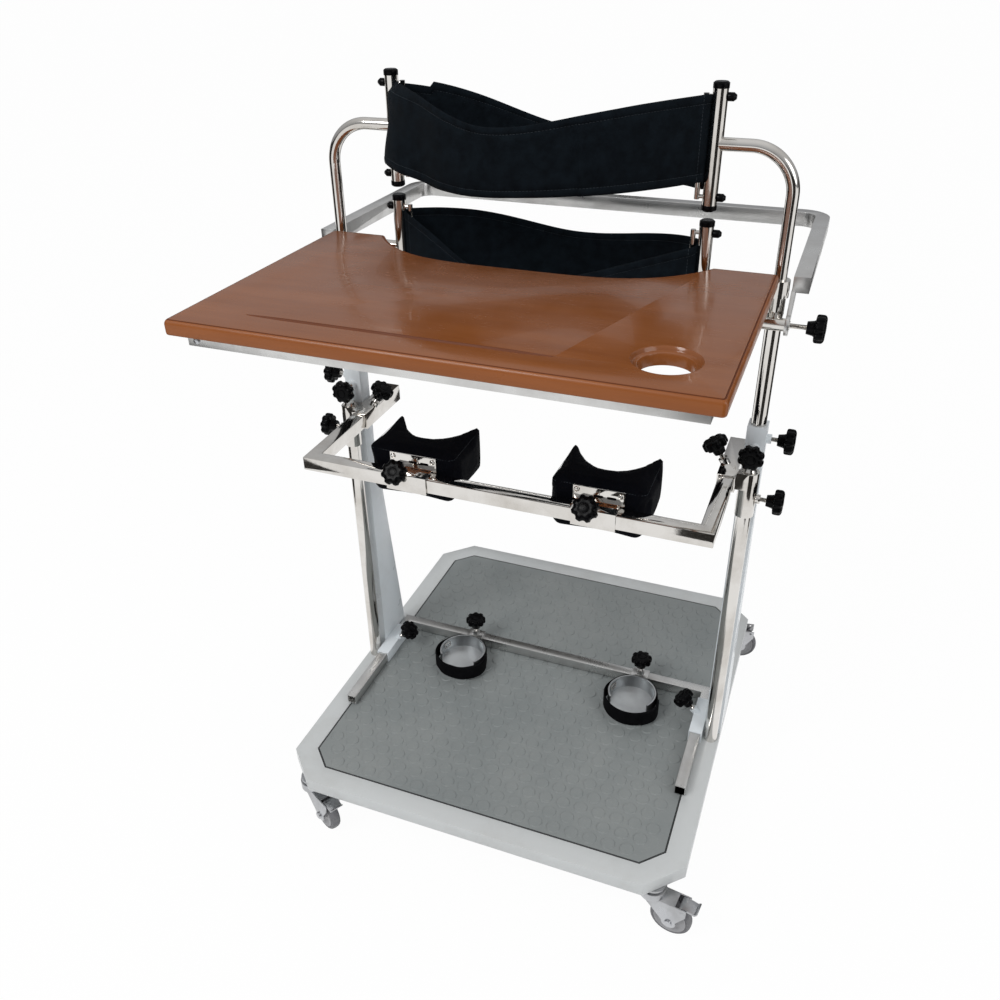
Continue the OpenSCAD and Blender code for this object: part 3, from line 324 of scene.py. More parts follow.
def outward(mesh):
    """Turns every face of a closed mesh outward."""
    bm = bmesh.new()
    bm.from_mesh(mesh)
    bmesh.ops.recalc_face_normals(bm, faces=bm.faces)
    bm.to_mesh(mesh)
    bm.free()


def keep(obj, body, slot, *replaced):
    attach(obj, body)
    if replaced:
        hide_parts(*replaced)
    return obj


def joined(rings, closed=False):
    """Points and faces through rings; an open run of rings gets a cap at each end."""
    n, faces = len(rings[0]), []
    last = len(rings) if closed else len(rings) - 1
    for k in range(last):
        a, b = k * n, (k + 1) % len(rings) * n
        faces += [(a + i, a + (i + 1) % n, b + (i + 1) % n, b + i) for i in range(n)]
    if not closed:
        faces.append(tuple(range(n))[::-1])
        faces.append(tuple(range((len(rings) - 1) * n, len(rings) * n)))
    return [p for ring in rings for p in ring], faces


def axis_frame(pos, axis):
    z = Vector(axis).normalized()
    side = Vector((0, 0, 1)) if abs(z.z) < 0.9 else Vector((0, 1, 0))
    x = side.cross(z).normalized()
    return Matrix.Translation(Vector(pos)) @ Matrix((x, z.cross(x), z)).transposed().to_4x4()


def lathe(profile, place, n=48):
    """Rings of a profile of radius and height pairs about the place's Z axis."""
    turns = [2 * math.pi * i / n for i in range(n)]
    return [[place @ Vector((r * math.cos(t), r * math.sin(t), z)) for t in turns] for r, z in profile]


def merge(*parts):
    """Several point and face lists as one, with the part number of each face."""
    points, faces, number = [], [], []
    for k, (p, f) in enumerate(parts):
        faces += [tuple(i + len(points) for i in face) for face in f]
        points += list(p)
        number += [k] * len(f)
    return points, faces, number


# %% [markdown]
# ## Rounded metalwork
# Real square tube, folded sheet and castings have rounded edges that catch the light. A copy of each node's
# mesh is merged and cleaned, and a Bevel modifier rounds the edges. The copy stands for the node.

# %% Rounded copies of the rigid nodes


def rounded(node, finish, width_mm, segments=2, angle=42):
    mesh = NODES[node].data.copy()
    mesh.materials.clear()
    mesh.materials.append(finish.material)
    bm = bmesh.new()
    bm.from_mesh(mesh)
    for face in bm.faces:
        face.material_index = 0
    bmesh.ops.remove_doubles(bm, verts=bm.verts, dist=5e-6)
    bmesh.ops.dissolve_limit(bm, angle_limit=math.radians(0.6), verts=bm.verts, edges=bm.edges)
    bm.to_mesh(mesh)
    bm.free()
    if mesh.has_custom_normals:
        mesh.attributes.remove(mesh.attributes["custom_normal"])
    obj = bpy.data.objects.new(f"{node}_metal", mesh)
    scene.collection.objects.link(obj)
    bevel = obj.modifiers.new("round", "BEVEL")
    bevel.width = width_mm * MM
    bevel.segments = segments
    bevel.limit_method = "ANGLE"
    bevel.angle_limit = math.radians(angle)
    bevel.use_clamp_overlap = True
    settle(obj)
    shade(obj.data, 32)
    return keep(obj, BODY_OF[node], SLOT_OF[node], node)


ROUNDED = [
    (rail_paint, 2.5, ["base_frame"]),
    (white_paint, 2.0, ["left_post", "right_post"]),
    (satin_steel, 1.5, ["tray_frame", "rear_bar", "foot_bar"]),
    (chrome, 2.0, ["knee_bar"]),
    (chrome, 1.0, ["knee_sliders", "left_knee_bracket", "right_knee_bracket"]),
    (satin_steel, 0.8, ["left_heel_clamp", "right_heel_clamp"]),
    (cup_steel, 0.7, ["left_heel_cup", "right_heel_cup"]),
    (zinc, 0.7, [f"{c}_caster_fork" for c in ("front_left", "front_right", "rear_left", "rear_right")]),
    (zinc, 0.6, ["front_left_brake_pedal", "front_right_brake_pedal"]),
    (black_plastic, 0.8, ["hip_post_caps", "chest_post_caps"]),
]
for finish, width, names in ROUNDED:
    for name in names:
        made = rounded(name, finish, width)
        print(name, len(made.data.polygons), "faces after rounding")

# %% [markdown]
# Round tubes, rods, caster plates and the plain sheet of the mat already have their true shape in the solids,
# so they keep their mesh and get a finish.

# %% Finishes of the nodes that keep their mesh
KEPT = {
    chrome: ["left_guide_tube", "right_guide_tube", "mast_tubes", "hip_arms", "hip_belt_rods",
             "left_gooseneck", "right_gooseneck", "chest_belt_rods"],
    zinc: ["caster_mounts"],
    mat_rubber: ["floor_mat"],
}
for finish, names in KEPT.items():
    for name in names:
        NODES[name].data.materials.clear()
        NODES[name].data.materials.append(finish.material)
print(sum(len(n) for n in KEPT.values()), "nodes keep their mesh")

# %% [markdown]
# ## Star knobs
# A moulded head with eight lobes sits on a threaded stud. The lobes are what is left of a disc after eight
# round notches, so the outline is worked out along rays from the middle, and rings of that outline make the
# head.

# %% Star knobs
STAR_R, NOTCH_AT, NOTCH_R, LOBES = 21.5, 25.8, 7.31, 8
HEAD_L, HUB_L, STUD_R, PITCH, THREAD_DEPTH = 16.0, 12.0, 4.0, 1.25, 0.5
# Profiles: the head's as inset from the star and height, the crown's and the hub's as radius and height
HEAD = [(3.6, 0.0), (1.3, 0.7), (0.3, 2.2), (0.0, 4.0), (0.0, 10.5), (0.4, 12.4), (1.6, 14.0), (3.6, 15.2),
        (6.4, 15.9)]
CROWN = [(11.5, 16.0), (8.8, 15.8), (8.3, 15.0), (7.7, 15.0), (7.3, 15.9), (5.0, 16.3), (2.0, 16.4)]
HUB = [(9.4, 0.0), (9.7, 0.5), (11.4, 9.5), (12.6, 11.6)]


def star_radius(turn):
    step = 2 * math.pi / LOBES
    off = abs((turn + step / 2) % step - step / 2)
    under = NOTCH_R ** 2 - (NOTCH_AT * math.sin(off)) ** 2
    return STAR_R if under <= 0 else min(STAR_R, NOTCH_AT * math.cos(off) - math.sqrt(under))


def star_knob(node):
    joint = JOINTS[BODY_OF[node]]
    place = axis_frame(joint["pos_m"], joint["axis"])
    inverse = place.inverted()
    along = [(inverse @ v.co).z for v in NODES[node].data.vertices]
    tip, top = min(along), max(along)
    n = 128
    turns = [2 * math.pi * i / n for i in range(n)]
    rings = []
    for r, z in HUB:
        rings.append([(r, t, z - HUB_L - HEAD_L) for t in turns])
    for inset, z in HEAD:
        rings.append([(star_radius(t) - inset, t, z - HEAD_L) for t in turns])
    for r, z in CROWN:
        rings.append([(r, t, z - HEAD_L) for t in turns])
    head = joined([[place @ Vector((r * MM * math.cos(t), r * MM * math.sin(t), top + z * MM))
                    for r, t, z in ring] for ring in rings])
    stud_end = top - (HEAD_L + HUB_L - 1) * MM
    count = int((stud_end - tip) / (PITCH * MM / 2))
    profile = []
    for k in range(count + 1):
        profile.append(((STUD_R - THREAD_DEPTH * (k % 2)) * MM, tip + (stud_end - tip) * k / count))
    stud = joined(lathe(profile, place, 24))
    points, faces, number = merge(head, stud)
    knob = piece(f"{node}_star", points, faces, [black_plastic, chrome], 50, number)
    return keep(knob, BODY_OF[node], "black_plastic", node)


knobs = [star_knob(n) for n in NODES if n.endswith("_knob")]
print(len(knobs), "star knobs")

# %% [markdown]
# ## Tray
# The tray is a board with a laminate face and a lighter edge. Its outline is a rounded rectangle with a body
# cut-out, so rings of the outline, moved in step by step, round both edges. The cup hole with its stepped
# rim and the pencil groove are turned shapes that a Boolean takes away. The groove and the fine seam at the
# face's edge take a darker finish, which is painted shade.

# %% Tray board
DECK = 135.0
TRAY = {"w": 748.0, "rear": 1.0, "front": -458.0, "low": DECK + 922, "top": DECK + 944, "corner": 6.0}
CUT_HALF, CUT_DEPTH, CUP, GROOVE = 275.0, 100.0, (287.0, -368.0), (-279.0, 160.0, -404.0)
TRAY_FINISHES = [tray_face, tray_edge, tray_groove]
FACE, BAND, GROOVE_SHADE = range(3)


def arc(cx, cy, r, start, end, n):
    turns = [math.radians(start + (end - start) * i / n) for i in range(n + 1)]
    return [(cx + r * math.cos(t), cy + r * math.sin(t)) for t in turns]


def tray_outline(d, steps=110):
    x, r = TRAY["w"] / 2 - d, TRAY["corner"] - d / 2
    front, rear, half = TRAY["front"] + d, TRAY["rear"] - d, CUT_HALF + d
    spread = [1 - 2 * i / steps for i in range(steps + 1)]
    across = [math.copysign(abs(s) ** 0.6, s) for s in spread]
    line = arc(-x + r, front + r, r, 180, 270, 12) + arc(x - r, front + r, r, 270, 360, 12)
    line += arc(x - r, rear - r, r, 0, 90, 12)
    line += [(half * u, rear - CUT_DEPTH * (1 - u ** 4)) for u in across]
    return line + arc(-x + r, rear - r, r, 90, 180, 12)


# The edge band runs round the board from below, and a fine seam parts it from the laminate of the face. The
# seam's faces take the darker finish, painted shade in the seam.
EDGE = [(3.0, 0.0), (1.2, 0.6), (0.3, 1.8), (0.0, 3.4), (0.0, 15.0), (0.3, 17.0), (1.1, 18.9), (2.2, 20.4),
        (3.3, 21.2), (3.7, 20.5), (5.0, 20.5), (5.4, 21.8), (6.0, 22.0)]
BAND_RINGS, SEAM_RINGS = 8, 3
rings = [[Vector((x, y, TRAY["low"] + z)) * MM for x, y in tray_outline(d)] for d, z in EDGE]
points, faces = joined(rings)
n = len(rings[0])
index = [BAND] * (n * BAND_RINGS) + [GROOVE_SHADE] * (n * SEAM_RINGS)
index += [FACE] * (len(faces) - len(index))
tray = piece("tray_laminate", points, faces, TRAY_FINISHES, 30, index)


def take_away(obj, rings, slot):
    """Cuts a turned shape out of the tray. The cut faces take the finish in the given slot."""
    points, faces = joined(rings)
    cutter = piece("cutter", points, faces, TRAY_FINISHES, 30, [slot] * len(faces))
    outward(cutter.data)
    cut = obj.modifiers.new("cut", "BOOLEAN")
    cut.object = cutter
    cut.solver = "EXACT"
    settle(obj)
    bpy.data.objects.remove(cutter)


cup_place = Matrix.Translation(Vector((CUP[0], CUP[1], TRAY["top"])) * MM)
CUP_RIM = [(34.5, -30), (34.5, -8.5), (35.2, -6.6), (36.6, -6.0), (40.0, -6.0), (41.3, -5.4), (42.0, -4.2),
           (43.0, -1.4), (44.2, 0.0), (46.0, 0.6), (46.0, 2)]
take_away(tray, lathe([(r * MM, z * MM) for r, z in CUP_RIM], cup_place, 96), FACE)
# The groove is round, with its middle above the face, and runs out at both ends
GROOVE_R, GROOVE_UP, TAPER = 4.64, 1.14, 60.0
GROOVE_TIP = GROOVE_UP - 0.4
groove_len = GROOVE[1] - GROOVE[0]
stations = [groove_len * k / 120 for k in range(121)]
groove_profile = []
for s in stations:
    share = min(1.0, min(s, groove_len - s) / TAPER)
    radius = GROOVE_TIP + (GROOVE_R - GROOVE_TIP) * math.sqrt(share)
    groove_profile.append((radius * MM, s * MM))
groove_place = axis_frame(Vector((GROOVE[0], GROOVE[2], TRAY["top"] + GROOVE_UP)) * MM, (1, 0, 0))
# The groove's faces take the darker finish, painted shade in the groove
take_away(tray, lathe(groove_profile, groove_place, 32), GROOVE_SHADE)
shade(tray.data, 30)
keep(tray, "masts", "tray", "tray_board")
print("tray", len(tray.data.polygons), "faces")

# %% [markdown]
# ## Studded mat
# The rubber mat is covered with low round studs in offset rows. A Geometry Nodes tree puts one small frustum
# on each point of a grid, which is worked out here so that no stud crosses the mat's edge.

# %% Coin studs by Geometry Nodes


def geometry_tree(name, inputs):
    tree = bpy.data.node_groups.new(name, "GeometryNodeTree")
    tree.interface.new_socket("Geometry", in_out="INPUT", socket_type="NodeSocketGeometry")
    ids = {}
    for label, kind in inputs.items():
        ids[label] = tree.interface.new_socket(label, in_out="INPUT", socket_type=kind).identifier
    tree.interface.new_socket("Geometry", in_out="OUTPUT", socket_type="NodeSocketGeometry")
    graph = Graph(tree)
    entry = tree.nodes.new("NodeGroupInput")
    return graph, {s.name: Wire(graph, s) for s in entry.outputs if s.name}, ids


def tree_end(graph, made, material):
    made = graph.node("GeometryNodeRealizeInstances", None, {"Geometry": made})
    made = graph.node("GeometryNodeSetMaterial", None, {"Geometry": made, "Material": material})
    graph.tree.links.new(made.socket, graph.tree.nodes.new("NodeGroupOutput").inputs[0])


def grown(name, points, edges, tree, ids, values):
    """A piece that a Geometry Nodes tree grows on points or lines, as a plain mesh."""
    mesh = bpy.data.meshes.new(name)
    mesh.from_pydata([tuple(p) for p in points], edges, [])
    obj = bpy.data.objects.new(name, mesh)
    scene.collection.objects.link(obj)
    mod = obj.modifiers.new("grow", "NODES")
    mod.node_group = tree
    for label, value in values.items():
        mod[ids[label]] = value
    return settle(obj)


graph, entry, stud_ids = geometry_tree("coin_studs", {
    "Diameter": "NodeSocketFloat", "Height": "NodeSocketFloat"})
half = entry["Diameter"] * 0.5
coin = graph.node("GeometryNodeMeshCone", {"fill_type": "NGON"}, {
    "Vertices": 24, "Radius Top": half - entry["Height"], "Radius Bottom": half, "Depth": entry["Height"]})
coins = graph.node("GeometryNodeInstanceOnPoints", None, {"Points": entry["Geometry"], "Instance": coin})
tree_end(graph, coins, mat_rubber.material)
MAT_W, MAT_L, MAT_CUT, MAT_Y, MAT_Z = 697.0, 759.0, 37.7, 37.0, 134.5
STUD_D, STUD_H, STUD_STEP = 26.0, 1.5, 34.0
# The first stud's middle and the least distance of the last one's from the mat's edges
STUD_FIRST, STUD_LAST = 20.0, 16.0
spots = []
row = 0
y = -MAT_L / 2 + STUD_FIRST
while y < MAT_L / 2 - STUD_LAST:
    x = -MAT_W / 2 + STUD_FIRST + (STUD_STEP / 2 if row % 2 else 0)
    while x < MAT_W / 2 - STUD_LAST:
        if abs(x) + abs(y) < MAT_W / 2 + MAT_L / 2 - MAT_CUT - STUD_D / 2 * 1.5:
            spots.append(Vector((x, y + MAT_Y, MAT_Z)) * MM)
        x += STUD_STEP
    y += STUD_STEP * math.sqrt(3) / 2
    row += 1
studs = grown("mat_studs", spots, [], graph.tree, stud_ids, {"Diameter": STUD_D * MM, "Height": STUD_H * MM})
keep(studs, "base", "mat")
print(len(spots), "studs on the mat")


def mat_outline(grow):
    a, b, c = MAT_W / 2 + grow, MAT_L / 2 + grow, MAT_CUT + grow * 0.6
    return [(-a, c - b), (c - a, -b), (a - c, -b), (a, c - b),
            (a, b - c), (a - c, b), (c - a, b), (-a, b - c)]


# The mat's edge is bevelled and lies in a gap beside the rails. Its near-black colour is painted shade of that
# gap, so it shows as a dark line
gap_shade_rings = [[Vector((x, y + MAT_Y, MAT_Z + z)) * MM for x, y in mat_outline(grow)]
              for grow, z in ((-1.6, -1.5), (-1.6, 0.08), (-0.6, 0.12), (0.9, -0.4), (1.3, -1.5))]
points, faces = joined([list(ring) for ring in zip(*gap_shade_rings)], closed=True)
keep(piece("mat_gap_shade", points, faces, [edge_rubber], 50), "base", "mat")

# %% [markdown]
# ## Belts
# Each belt is one wide band of padded cloth round two rods, bowed out to the front and the rear, with hems
# along both edges. Its middle line is a parabola on each side, as in the solids, and an arc round each rod, a
# little looser than theirs. Rows across the band carry the hems, the lap where its ends are sewn over each
# other, and soft creases.

# %% Belts
ROD_X, MAST_Y, WRAP_R, BAND_T, BAND_H, POST_L = 237.4, 26.0, 8.8, 4.0, 126.0, 160.0
# How each edge sags, in mm below the straight band: level at the ends, depth of the dip, and where it is
# deepest and how wide it is on its left and right, as shares of half the span. The top and bottom edges of
# the front come first, then those of the rear.
SAGS = {
    "hip_belt": (((-3, 66, -0.17, 0.50, 1.00), (0, 22, 0.0, 0.55, 0.55)),
                 ((-5, 48, 0.10, 0.66, 0.70), (0, 27, 0.1, 0.6, 0.6))),
    "chest_belt": (((-10.5, 32, -0.13, 0.45, 0.60), (-17, 11, -0.5, 0.35, 0.55)),
                   ((-18, 93, 0.08, 0.76, 0.74), (-3, 38, 0.15, 0.6, 0.45))),
}
FLARE = {"hip_belt": 0.0, "chest_belt": 1.0}
# The chest belt's rear stands higher from REAR_LAP_X on, and its loose front end at the left flares out
REAR_LAP = {"hip_belt": 0.0, "chest_belt": 8.3}
REAR_LAP_X, FLARE_OUT, FLARE_FORWARD = -204.0, 24.0, 15.0
# How far the sewn lap stands off the front, and how deep the cloth is pressed in beside it
LAP_UP, LAP_PRESS = 3.2, 1.6
CREASE_SCALE, CREASE, FINE_CREASE = 0.012, 2.2, 0.9
HEM = [0, 0.012, 0.05, 0.085, 0.1, 0.115]
HEM_BULGE = [0.2, 0.75, 1.0, 0.95, 0.35, 0.8]
HEM_SEAMS, END_SEAMS = (4, 14), (2, 98)


def dip(u, level, depth, place, left, right):
    """Sag at u, from -1 at the left rod to 1 at the right one."""
    return level + depth * math.exp(-((u - place) / (left if u < place else right)) ** 2)


def band_plan(front, rear, lap_x, n=96, turn_n=12):
    """The band's middle line from the left rod along the front: x, y and nearness to the middle of a side."""
    plan = []
    for bow, side in ((front, 1), (rear, -1)):
        slope = math.atan(2 * bow / ROD_X)
        end = ROD_X + WRAP_R * math.sin(slope)
        spread = [2 * i / n - 1 for i in range(n + 1)]
        spread = sorted(spread + [(lap_x + d) / end for d in (-1.5, 0.3, 1.5, 3.0)]) if side > 0 else spread
        for x in (side * end * u for u in spread):
            share = 1 - (x / end) ** 2
            plan.append((x, -side * (WRAP_R * math.cos(slope) + bow * share), share))
        a0 = -90 + math.degrees(math.atan(2 * (front if side > 0 else rear) / ROD_X))
        a1 = 90 - math.degrees(math.atan(2 * (rear if side > 0 else front) / ROD_X))
        for i in range(1, turn_n):
            a = math.radians(a0 + (a1 - a0) * i / turn_n)
            plan.append((side * (ROD_X + WRAP_R * math.cos(a)), side * WRAP_R * math.sin(a), 0.0))
    return plan


def ease(value):
    value = min(1.0, max(0.0, value))
    return value * value * (3 - 2 * value)


def belt(name, base, front, rear, lap_x, seed):
    plan = band_plan(front, rear, lap_x)
    n = len(plan)
    flat = np.array([p[:2] for p in plan])
    step = np.roll(flat, -1, 0) - np.roll(flat, 1, 0)
    normal = np.stack([step[:, 1], -step[:, 0]], 1) / np.linalg.norm(step, axis=1)[:, None]
    run = np.concatenate([[0], np.cumsum(np.linalg.norm(np.diff(flat, axis=0), axis=1))])
    length = run[-1] + np.linalg.norm(flat[0] - flat[-1])
    low = DECK + base + (POST_L - BAND_H) / 2
    rows = HEM + [0.2, 0.3, 0.4, 0.5, 0.6, 0.7, 0.8] + [1 - v for v in reversed(HEM)]
    bulge = HEM_BULGE + [0.8] * 7 + HEM_BULGE[::-1]

    def spot(i, out, k):
        x, y, share = plan[i]
        v = rows[k]
        turned = ease(y / WRAP_R / 2 + 0.5)
        side = x / (ROD_X + WRAP_R)
        fall = [v * dip(side, *top) + (1 - v) * dip(side, *bottom) for top, bottom in SAGS[name]]
        sag = fall[0] + (fall[1] - fall[0]) * turned
        if x > REAR_LAP_X:
            sag -= REAR_LAP[name] * v * turned
        flare = 0.5 * ease((1 - v) / 0.15) + 0.5 * ease((0.6 - v) / 0.6)
        loose = FLARE[name] * flare * ease((-x - 150) / 85) * ease(-y / 6)
        p = Vector((x, y, BAND_H * v)) * CREASE_SCALE + Vector((0, 0, seed))
        crease = noise.noise(p) * CREASE + noise.noise(p * 2.3) * FINE_CREASE
        crease *= min(1.0, share * 2.5)
        lap = LAP_UP * ease((x - lap_x) / 3) if (y < 0 and out > 0 and share > 0) else 0.0
        if y < 0 and out > 0:
            inside = ease((0.9 - v) / 0.2) * ease((v - 0.1) / 0.2)
            lap -= LAP_PRESS * math.exp(-((x - lap_x + 4) / 3.5) ** 2) * inside
        d = crease + out * (BAND_T / 2 * bulge[k]) + lap
        px = x + normal[i, 0] * d - FLARE_OUT * loose
        py = MAST_Y + y + normal[i, 1] * d - min(FLARE_FORWARD, FLARE_OUT * loose)
        return Vector((px, py, low + BAND_H * v - sag)) * MM

    count = len(rows)
    rings = []
    for i in range(n):
        outer = [spot(i, 1, k) for k in range(count)]
        rings.append(outer + [spot(i, -1, k) for k in reversed(range(count))])
    points, faces = joined(rings, closed=True)
    obj = piece(f"{name}_cloth", points, faces, [belt_cloth], 60)
    layer = obj.data.uv_layers.new(name="cloth")
    around = 2 * count
    for poly in obj.data.polygons:
        corners = [obj.data.loops[loop].vertex_index for loop in poly.loop_indices]
        closing = max(corners) // around == n - 1
        for loop, corner in zip(poly.loop_indices, corners):
            i, k = divmod(corner, around)
            k = k if k < count else around - 1 - k
            u = length if closing and i == 0 else run[i]
            layer.data[loop].uv = (u * MM, rows[k] * BAND_H * MM)
    return obj, length, spot, n


belts = {}
for name, body, base, front, rear, lap_x, seed in (
        ("hip_belt", "masts", 838.0, 100.0, 112.0, 60.0, 3.0),
        ("chest_belt", "chest_support", 1029.0, 165.0, 118.0, 94.0, 8.0)):
    obj, length, spot, n = belt(name, base, front, rear, lap_x, seed)
    keep(obj, body, "belt", name)
    belts[name] = (body, spot, n)
    print(name, "band is", round(length), "mm round")

# %% [markdown]
# Rows of stitches hold the hems. A Geometry Nodes tree lays short round threads along any line of points, at
# a pitch that it takes as an input, so one tree sews the belts and the pads.

# %% Stitches by Geometry Nodes
graph, entry, stitch_ids = geometry_tree(
    "stitch_line", {"Pitch": "NodeSocketFloat", "Length": "NodeSocketFloat", "Thread": "NodeSocketFloat"})
line = graph.node("GeometryNodeMeshToCurve", None, {"Mesh": entry["Geometry"]})
dots = graph.tree.nodes.new("GeometryNodeCurveToPoints")
dots.mode = "LENGTH"
graph.tree.links.new(line.socket, dots.inputs["Curve"])
graph.tree.links.new(entry["Pitch"].socket, dots.inputs["Length"])
bar = graph.node("GeometryNodeMeshCylinder", {"fill_type": "NGON"},
                 {"Vertices": 6, "Radius": entry["Thread"], "Depth": entry["Length"]})
sewn = graph.node("GeometryNodeInstanceOnPoints", None,
                  {"Points": Wire(graph, dots.outputs["Points"]), "Instance": bar,
                   "Rotation": Wire(graph, dots.outputs["Rotation"])})
tree_end(graph, sewn, thread.material)
stitch_tree = graph.tree


def sew(name, lines, body, slot, pitch=5.0, length=3.2, radius=0.35):
    points, edges = [], []
    for path in lines:
        start = len(points)
        points += path
        edges += [(start + i, start + i + 1) for i in range(len(path) - 1)]
    made = grown(name, points, edges, stitch_tree, stitch_ids,
                 {"Pitch": pitch * MM, "Length": length * MM, "Thread": radius * MM})
    return keep(made, body, slot)


for name, (body, spot, n) in belts.items():
    lines = [[spot(i % n, out, k) for i in range(n + 1)] for k in HEM_SEAMS for out in (1, -1)]
    lines += [[spot(i, 1, k) for k in range(1, 18)] for i in END_SEAMS]
    sewn = sew(f"{name}_stitches", lines, body, "belt")
    print(name, len(sewn.data.polygons), "stitch faces")

# %% [markdown]
# ## Knee pads
# A knee pad is a block of foam in a cloth cover, hollowed for the knee between two pointed horns. The loft of
# the solids is made again with more rings, remeshed, and blown up a little by Cloth with pressure, so that
# its faces crown and its edges stay crisp.

# %% Knee pads
PAD_W, PAD_DEPTH, PAD_H, HOLLOW_DEPTH = 160.0, 126.0, 92.0, 68.0
PAD_Y, PAD_Z = -184.2, DECK + 552
# Share of the height, inset all round and inset of the back for each ring of the loft
LAYERS = [(0, 9, 3), (0.03, 7, 2), (0.08, 3.6, 0.8), (0.14, 0.5, 0), (0.3, 0, 0), (0.5, 0, 0), (0.75, 0, 0),
          (0.94, 0, 0), (0.97, 0.9, 0.5), (0.99, 2.2, 1.4), (1, 4, 3)]
SLACK = 1.5


def pad_outline(d, back_off):
    a, r, tip_r = PAD_W / 2 - d, 10.0, 4.0
    tip, web = PAD_DEPTH - d, PAD_DEPTH - HOLLOW_DEPTH - d / 2
    line = [(-a, tip - tip_r)] + arc(-a + r, back_off + r, r, 180, 270, 10)
    line += arc(a - r, back_off + r, r, 270, 360, 10) + [(a, tip - tip_r)]
    for i in range(41):
        u = 1 - i / 20
        line.append(((a - tip_r) * u, web + (tip - web) * u * u))
    return line


def puff(obj, pressure, cap, frames=16):
    """Blows a closed mesh up by Cloth with pressure, and keeps every point within a cap of where it was."""
    before = np.array([v.co for v in obj.data.vertices])
    mod = obj.modifiers.new("cloth", "CLOTH")
    mod.settings.use_pressure = True
    mod.settings.uniform_pressure_force = pressure
    mod.settings.effector_weights.gravity = 0
    mod.settings.quality = 5
    for step in range(1, frames + 1):
        scene.frame_set(step)
    settle(obj)
    scene.frame_set(1)
    after = np.array([v.co for v in obj.data.vertices])
    move = after - before
    size = np.linalg.norm(move, axis=1)
    move *= np.minimum(1, cap / np.maximum(size, 1e-9))[:, None]
    obj.data.vertices.foreach_set("co", (before + move).astype(np.float32).ravel())
    obj.data.update()
    return float(size.max())


def knee_pad(side, x):
    rings = []
    for share, inset, back_off in LAYERS:
        z = PAD_Z + PAD_H * share + SLACK * (1 - 2 * share)
        line = pad_outline(inset + SLACK, back_off)
        rings.append([Vector((x + px, PAD_Y + py, z)) * MM for px, py in line])
    points, faces = joined(rings)
    obj = piece(f"{side}_knee_pad_cover", points, faces, [pad_cloth], 60)
    remesh = obj.modifiers.new("grid", "REMESH")
    remesh.mode = "VOXEL"
    remesh.voxel_size = 0.004
    settle(obj)
    print(side, "pad moved", round(puff(obj, 4.0, 0.004) * 1000, 1), "mm at most before the cap")
    co = np.array([v.co for v in obj.data.vertices])
    co[:, 1] = np.maximum(co[:, 1], PAD_Y * MM + 0.0002)
    obj.data.vertices.foreach_set("co", co.astype(np.float32).ravel())
    fine = obj.modifiers.new("fine", "SUBSURF")
    fine.levels = fine.render_levels = 1
    settle(obj)
    layer = obj.data.uv_layers.new(name="cloth")
    for poly in obj.data.polygons:
        flat = max(range(3), key=lambda a: abs(poly.normal[a]))
        axes = [a for a in range(3) if a != flat]
        for loop in poly.loop_indices:
            p = obj.data.vertices[obj.data.loops[loop].vertex_index].co
            layer.data[loop].uv = (p[axes[0]], p[axes[1]])
    shade(obj.data, 70)
    keep(obj, f"{side}_knee_block", "pad", f"{side}_knee_pad")
    surface = BVHTree.FromObject(obj, bpy.context.evaluated_depsgraph_get())
    lines = []
    for share in (0.93, 0.15):
        path = []
        for px, py in pad_outline(0.0, 0.0):
            near = surface.find_nearest(Vector((x + px, PAD_Y + py, PAD_Z + PAD_H * share)) * MM)
            path.append(near[0] + near[1] * 0.0001)
        lines.append(path + path[:1])
    sew(f"{side}_knee_pad_stitches", lines, f"{side}_knee_block", "pad", 5.0, 3.4, 0.4)
    return obj


KNEE_X = {"left": -155.0, "right": 166.0}
for side, off in (("left", -6), ("right", -3)):
    pad = knee_pad(side, KNEE_X[side] + off)
    print(pad.name, len(pad.data.polygons), "faces")

# %% [markdown]
# ## Small fixings
# Screws hold the pads to their plates, which have two slots each, and one screw holds the tray's front rail.
# A pan head is a short lathe profile. A slot is a dark stadium just proud of the plate, painted shade in
# the slot's opening, so that the two never flicker.

# %% Screws and slots
PLATE_Y, PLATE_Z = -187.2, DECK + 600
PAN = [(4.6, 0.0), (4.6, 0.7), (4.2, 1.6), (3.2, 2.3), (1.9, 2.6), (1.6, 1.9), (0.6, 1.9)]


def pan_head(pos, axis, size=1.0):
    place = axis_frame(Vector(pos) * MM, axis)
    return joined(lathe([(r * size * MM, z * size * MM) for r, z in PAN], place, 20))


def slot_shade_mark(x, y, z, length, width, depth=0.4):
    line = arc(x - length / 2, z, width / 2, 90, 270, 8) + arc(x + length / 2, z, width / 2, -90, 90, 8)
    return joined([[Vector((px, y + d, pz)) * MM for px, pz in line] for d in (0.3, -depth)])


for side, x in KNEE_X.items():
    heads = [pan_head((x + sx * 36, PLATE_Y, PLATE_Z + dz), (0, -1, 0))
             for sx in (-1, 1) for dz in (31.5, -24.5)]
    ends = [pan_head((x + dx, -204, PLATE_Z - 15.3), (0, 0, -1), 1.2) for dx in (-29, 29)]
    points, faces = merge(*heads, *ends)[:2]
    keep(piece(f"{side}_plate_screws", points, faces, [chrome], 40), f"{side}_knee_block", "chrome")
    # Dark stadiums stand for the slots: painted shade in their openings
    points, faces = merge(*[slot_shade_mark(x + dx, PLATE_Y, PLATE_Z + 25.0, 11, 4.2) for dx in (0, 21)])[:2]
    keep(piece(f"{side}_plate_slot_shades", points, faces, [black_plastic], 40), f"{side}_knee_block", "chrome")
points, faces = pan_head((-341, -436, 1045), (0, -1, 0))
keep(piece("tray_rail_screw", points, faces, [zinc], 40), "masts", "chrome")
print("screws and slots made")

# %% [markdown]
# ## Heel straps
# A strap of webbing goes round each heel cup and closes on itself in front. It is stiff, so it runs nearly
# straight between a few soft corners and stands off the cup's open mouth. Its end laps over the side.

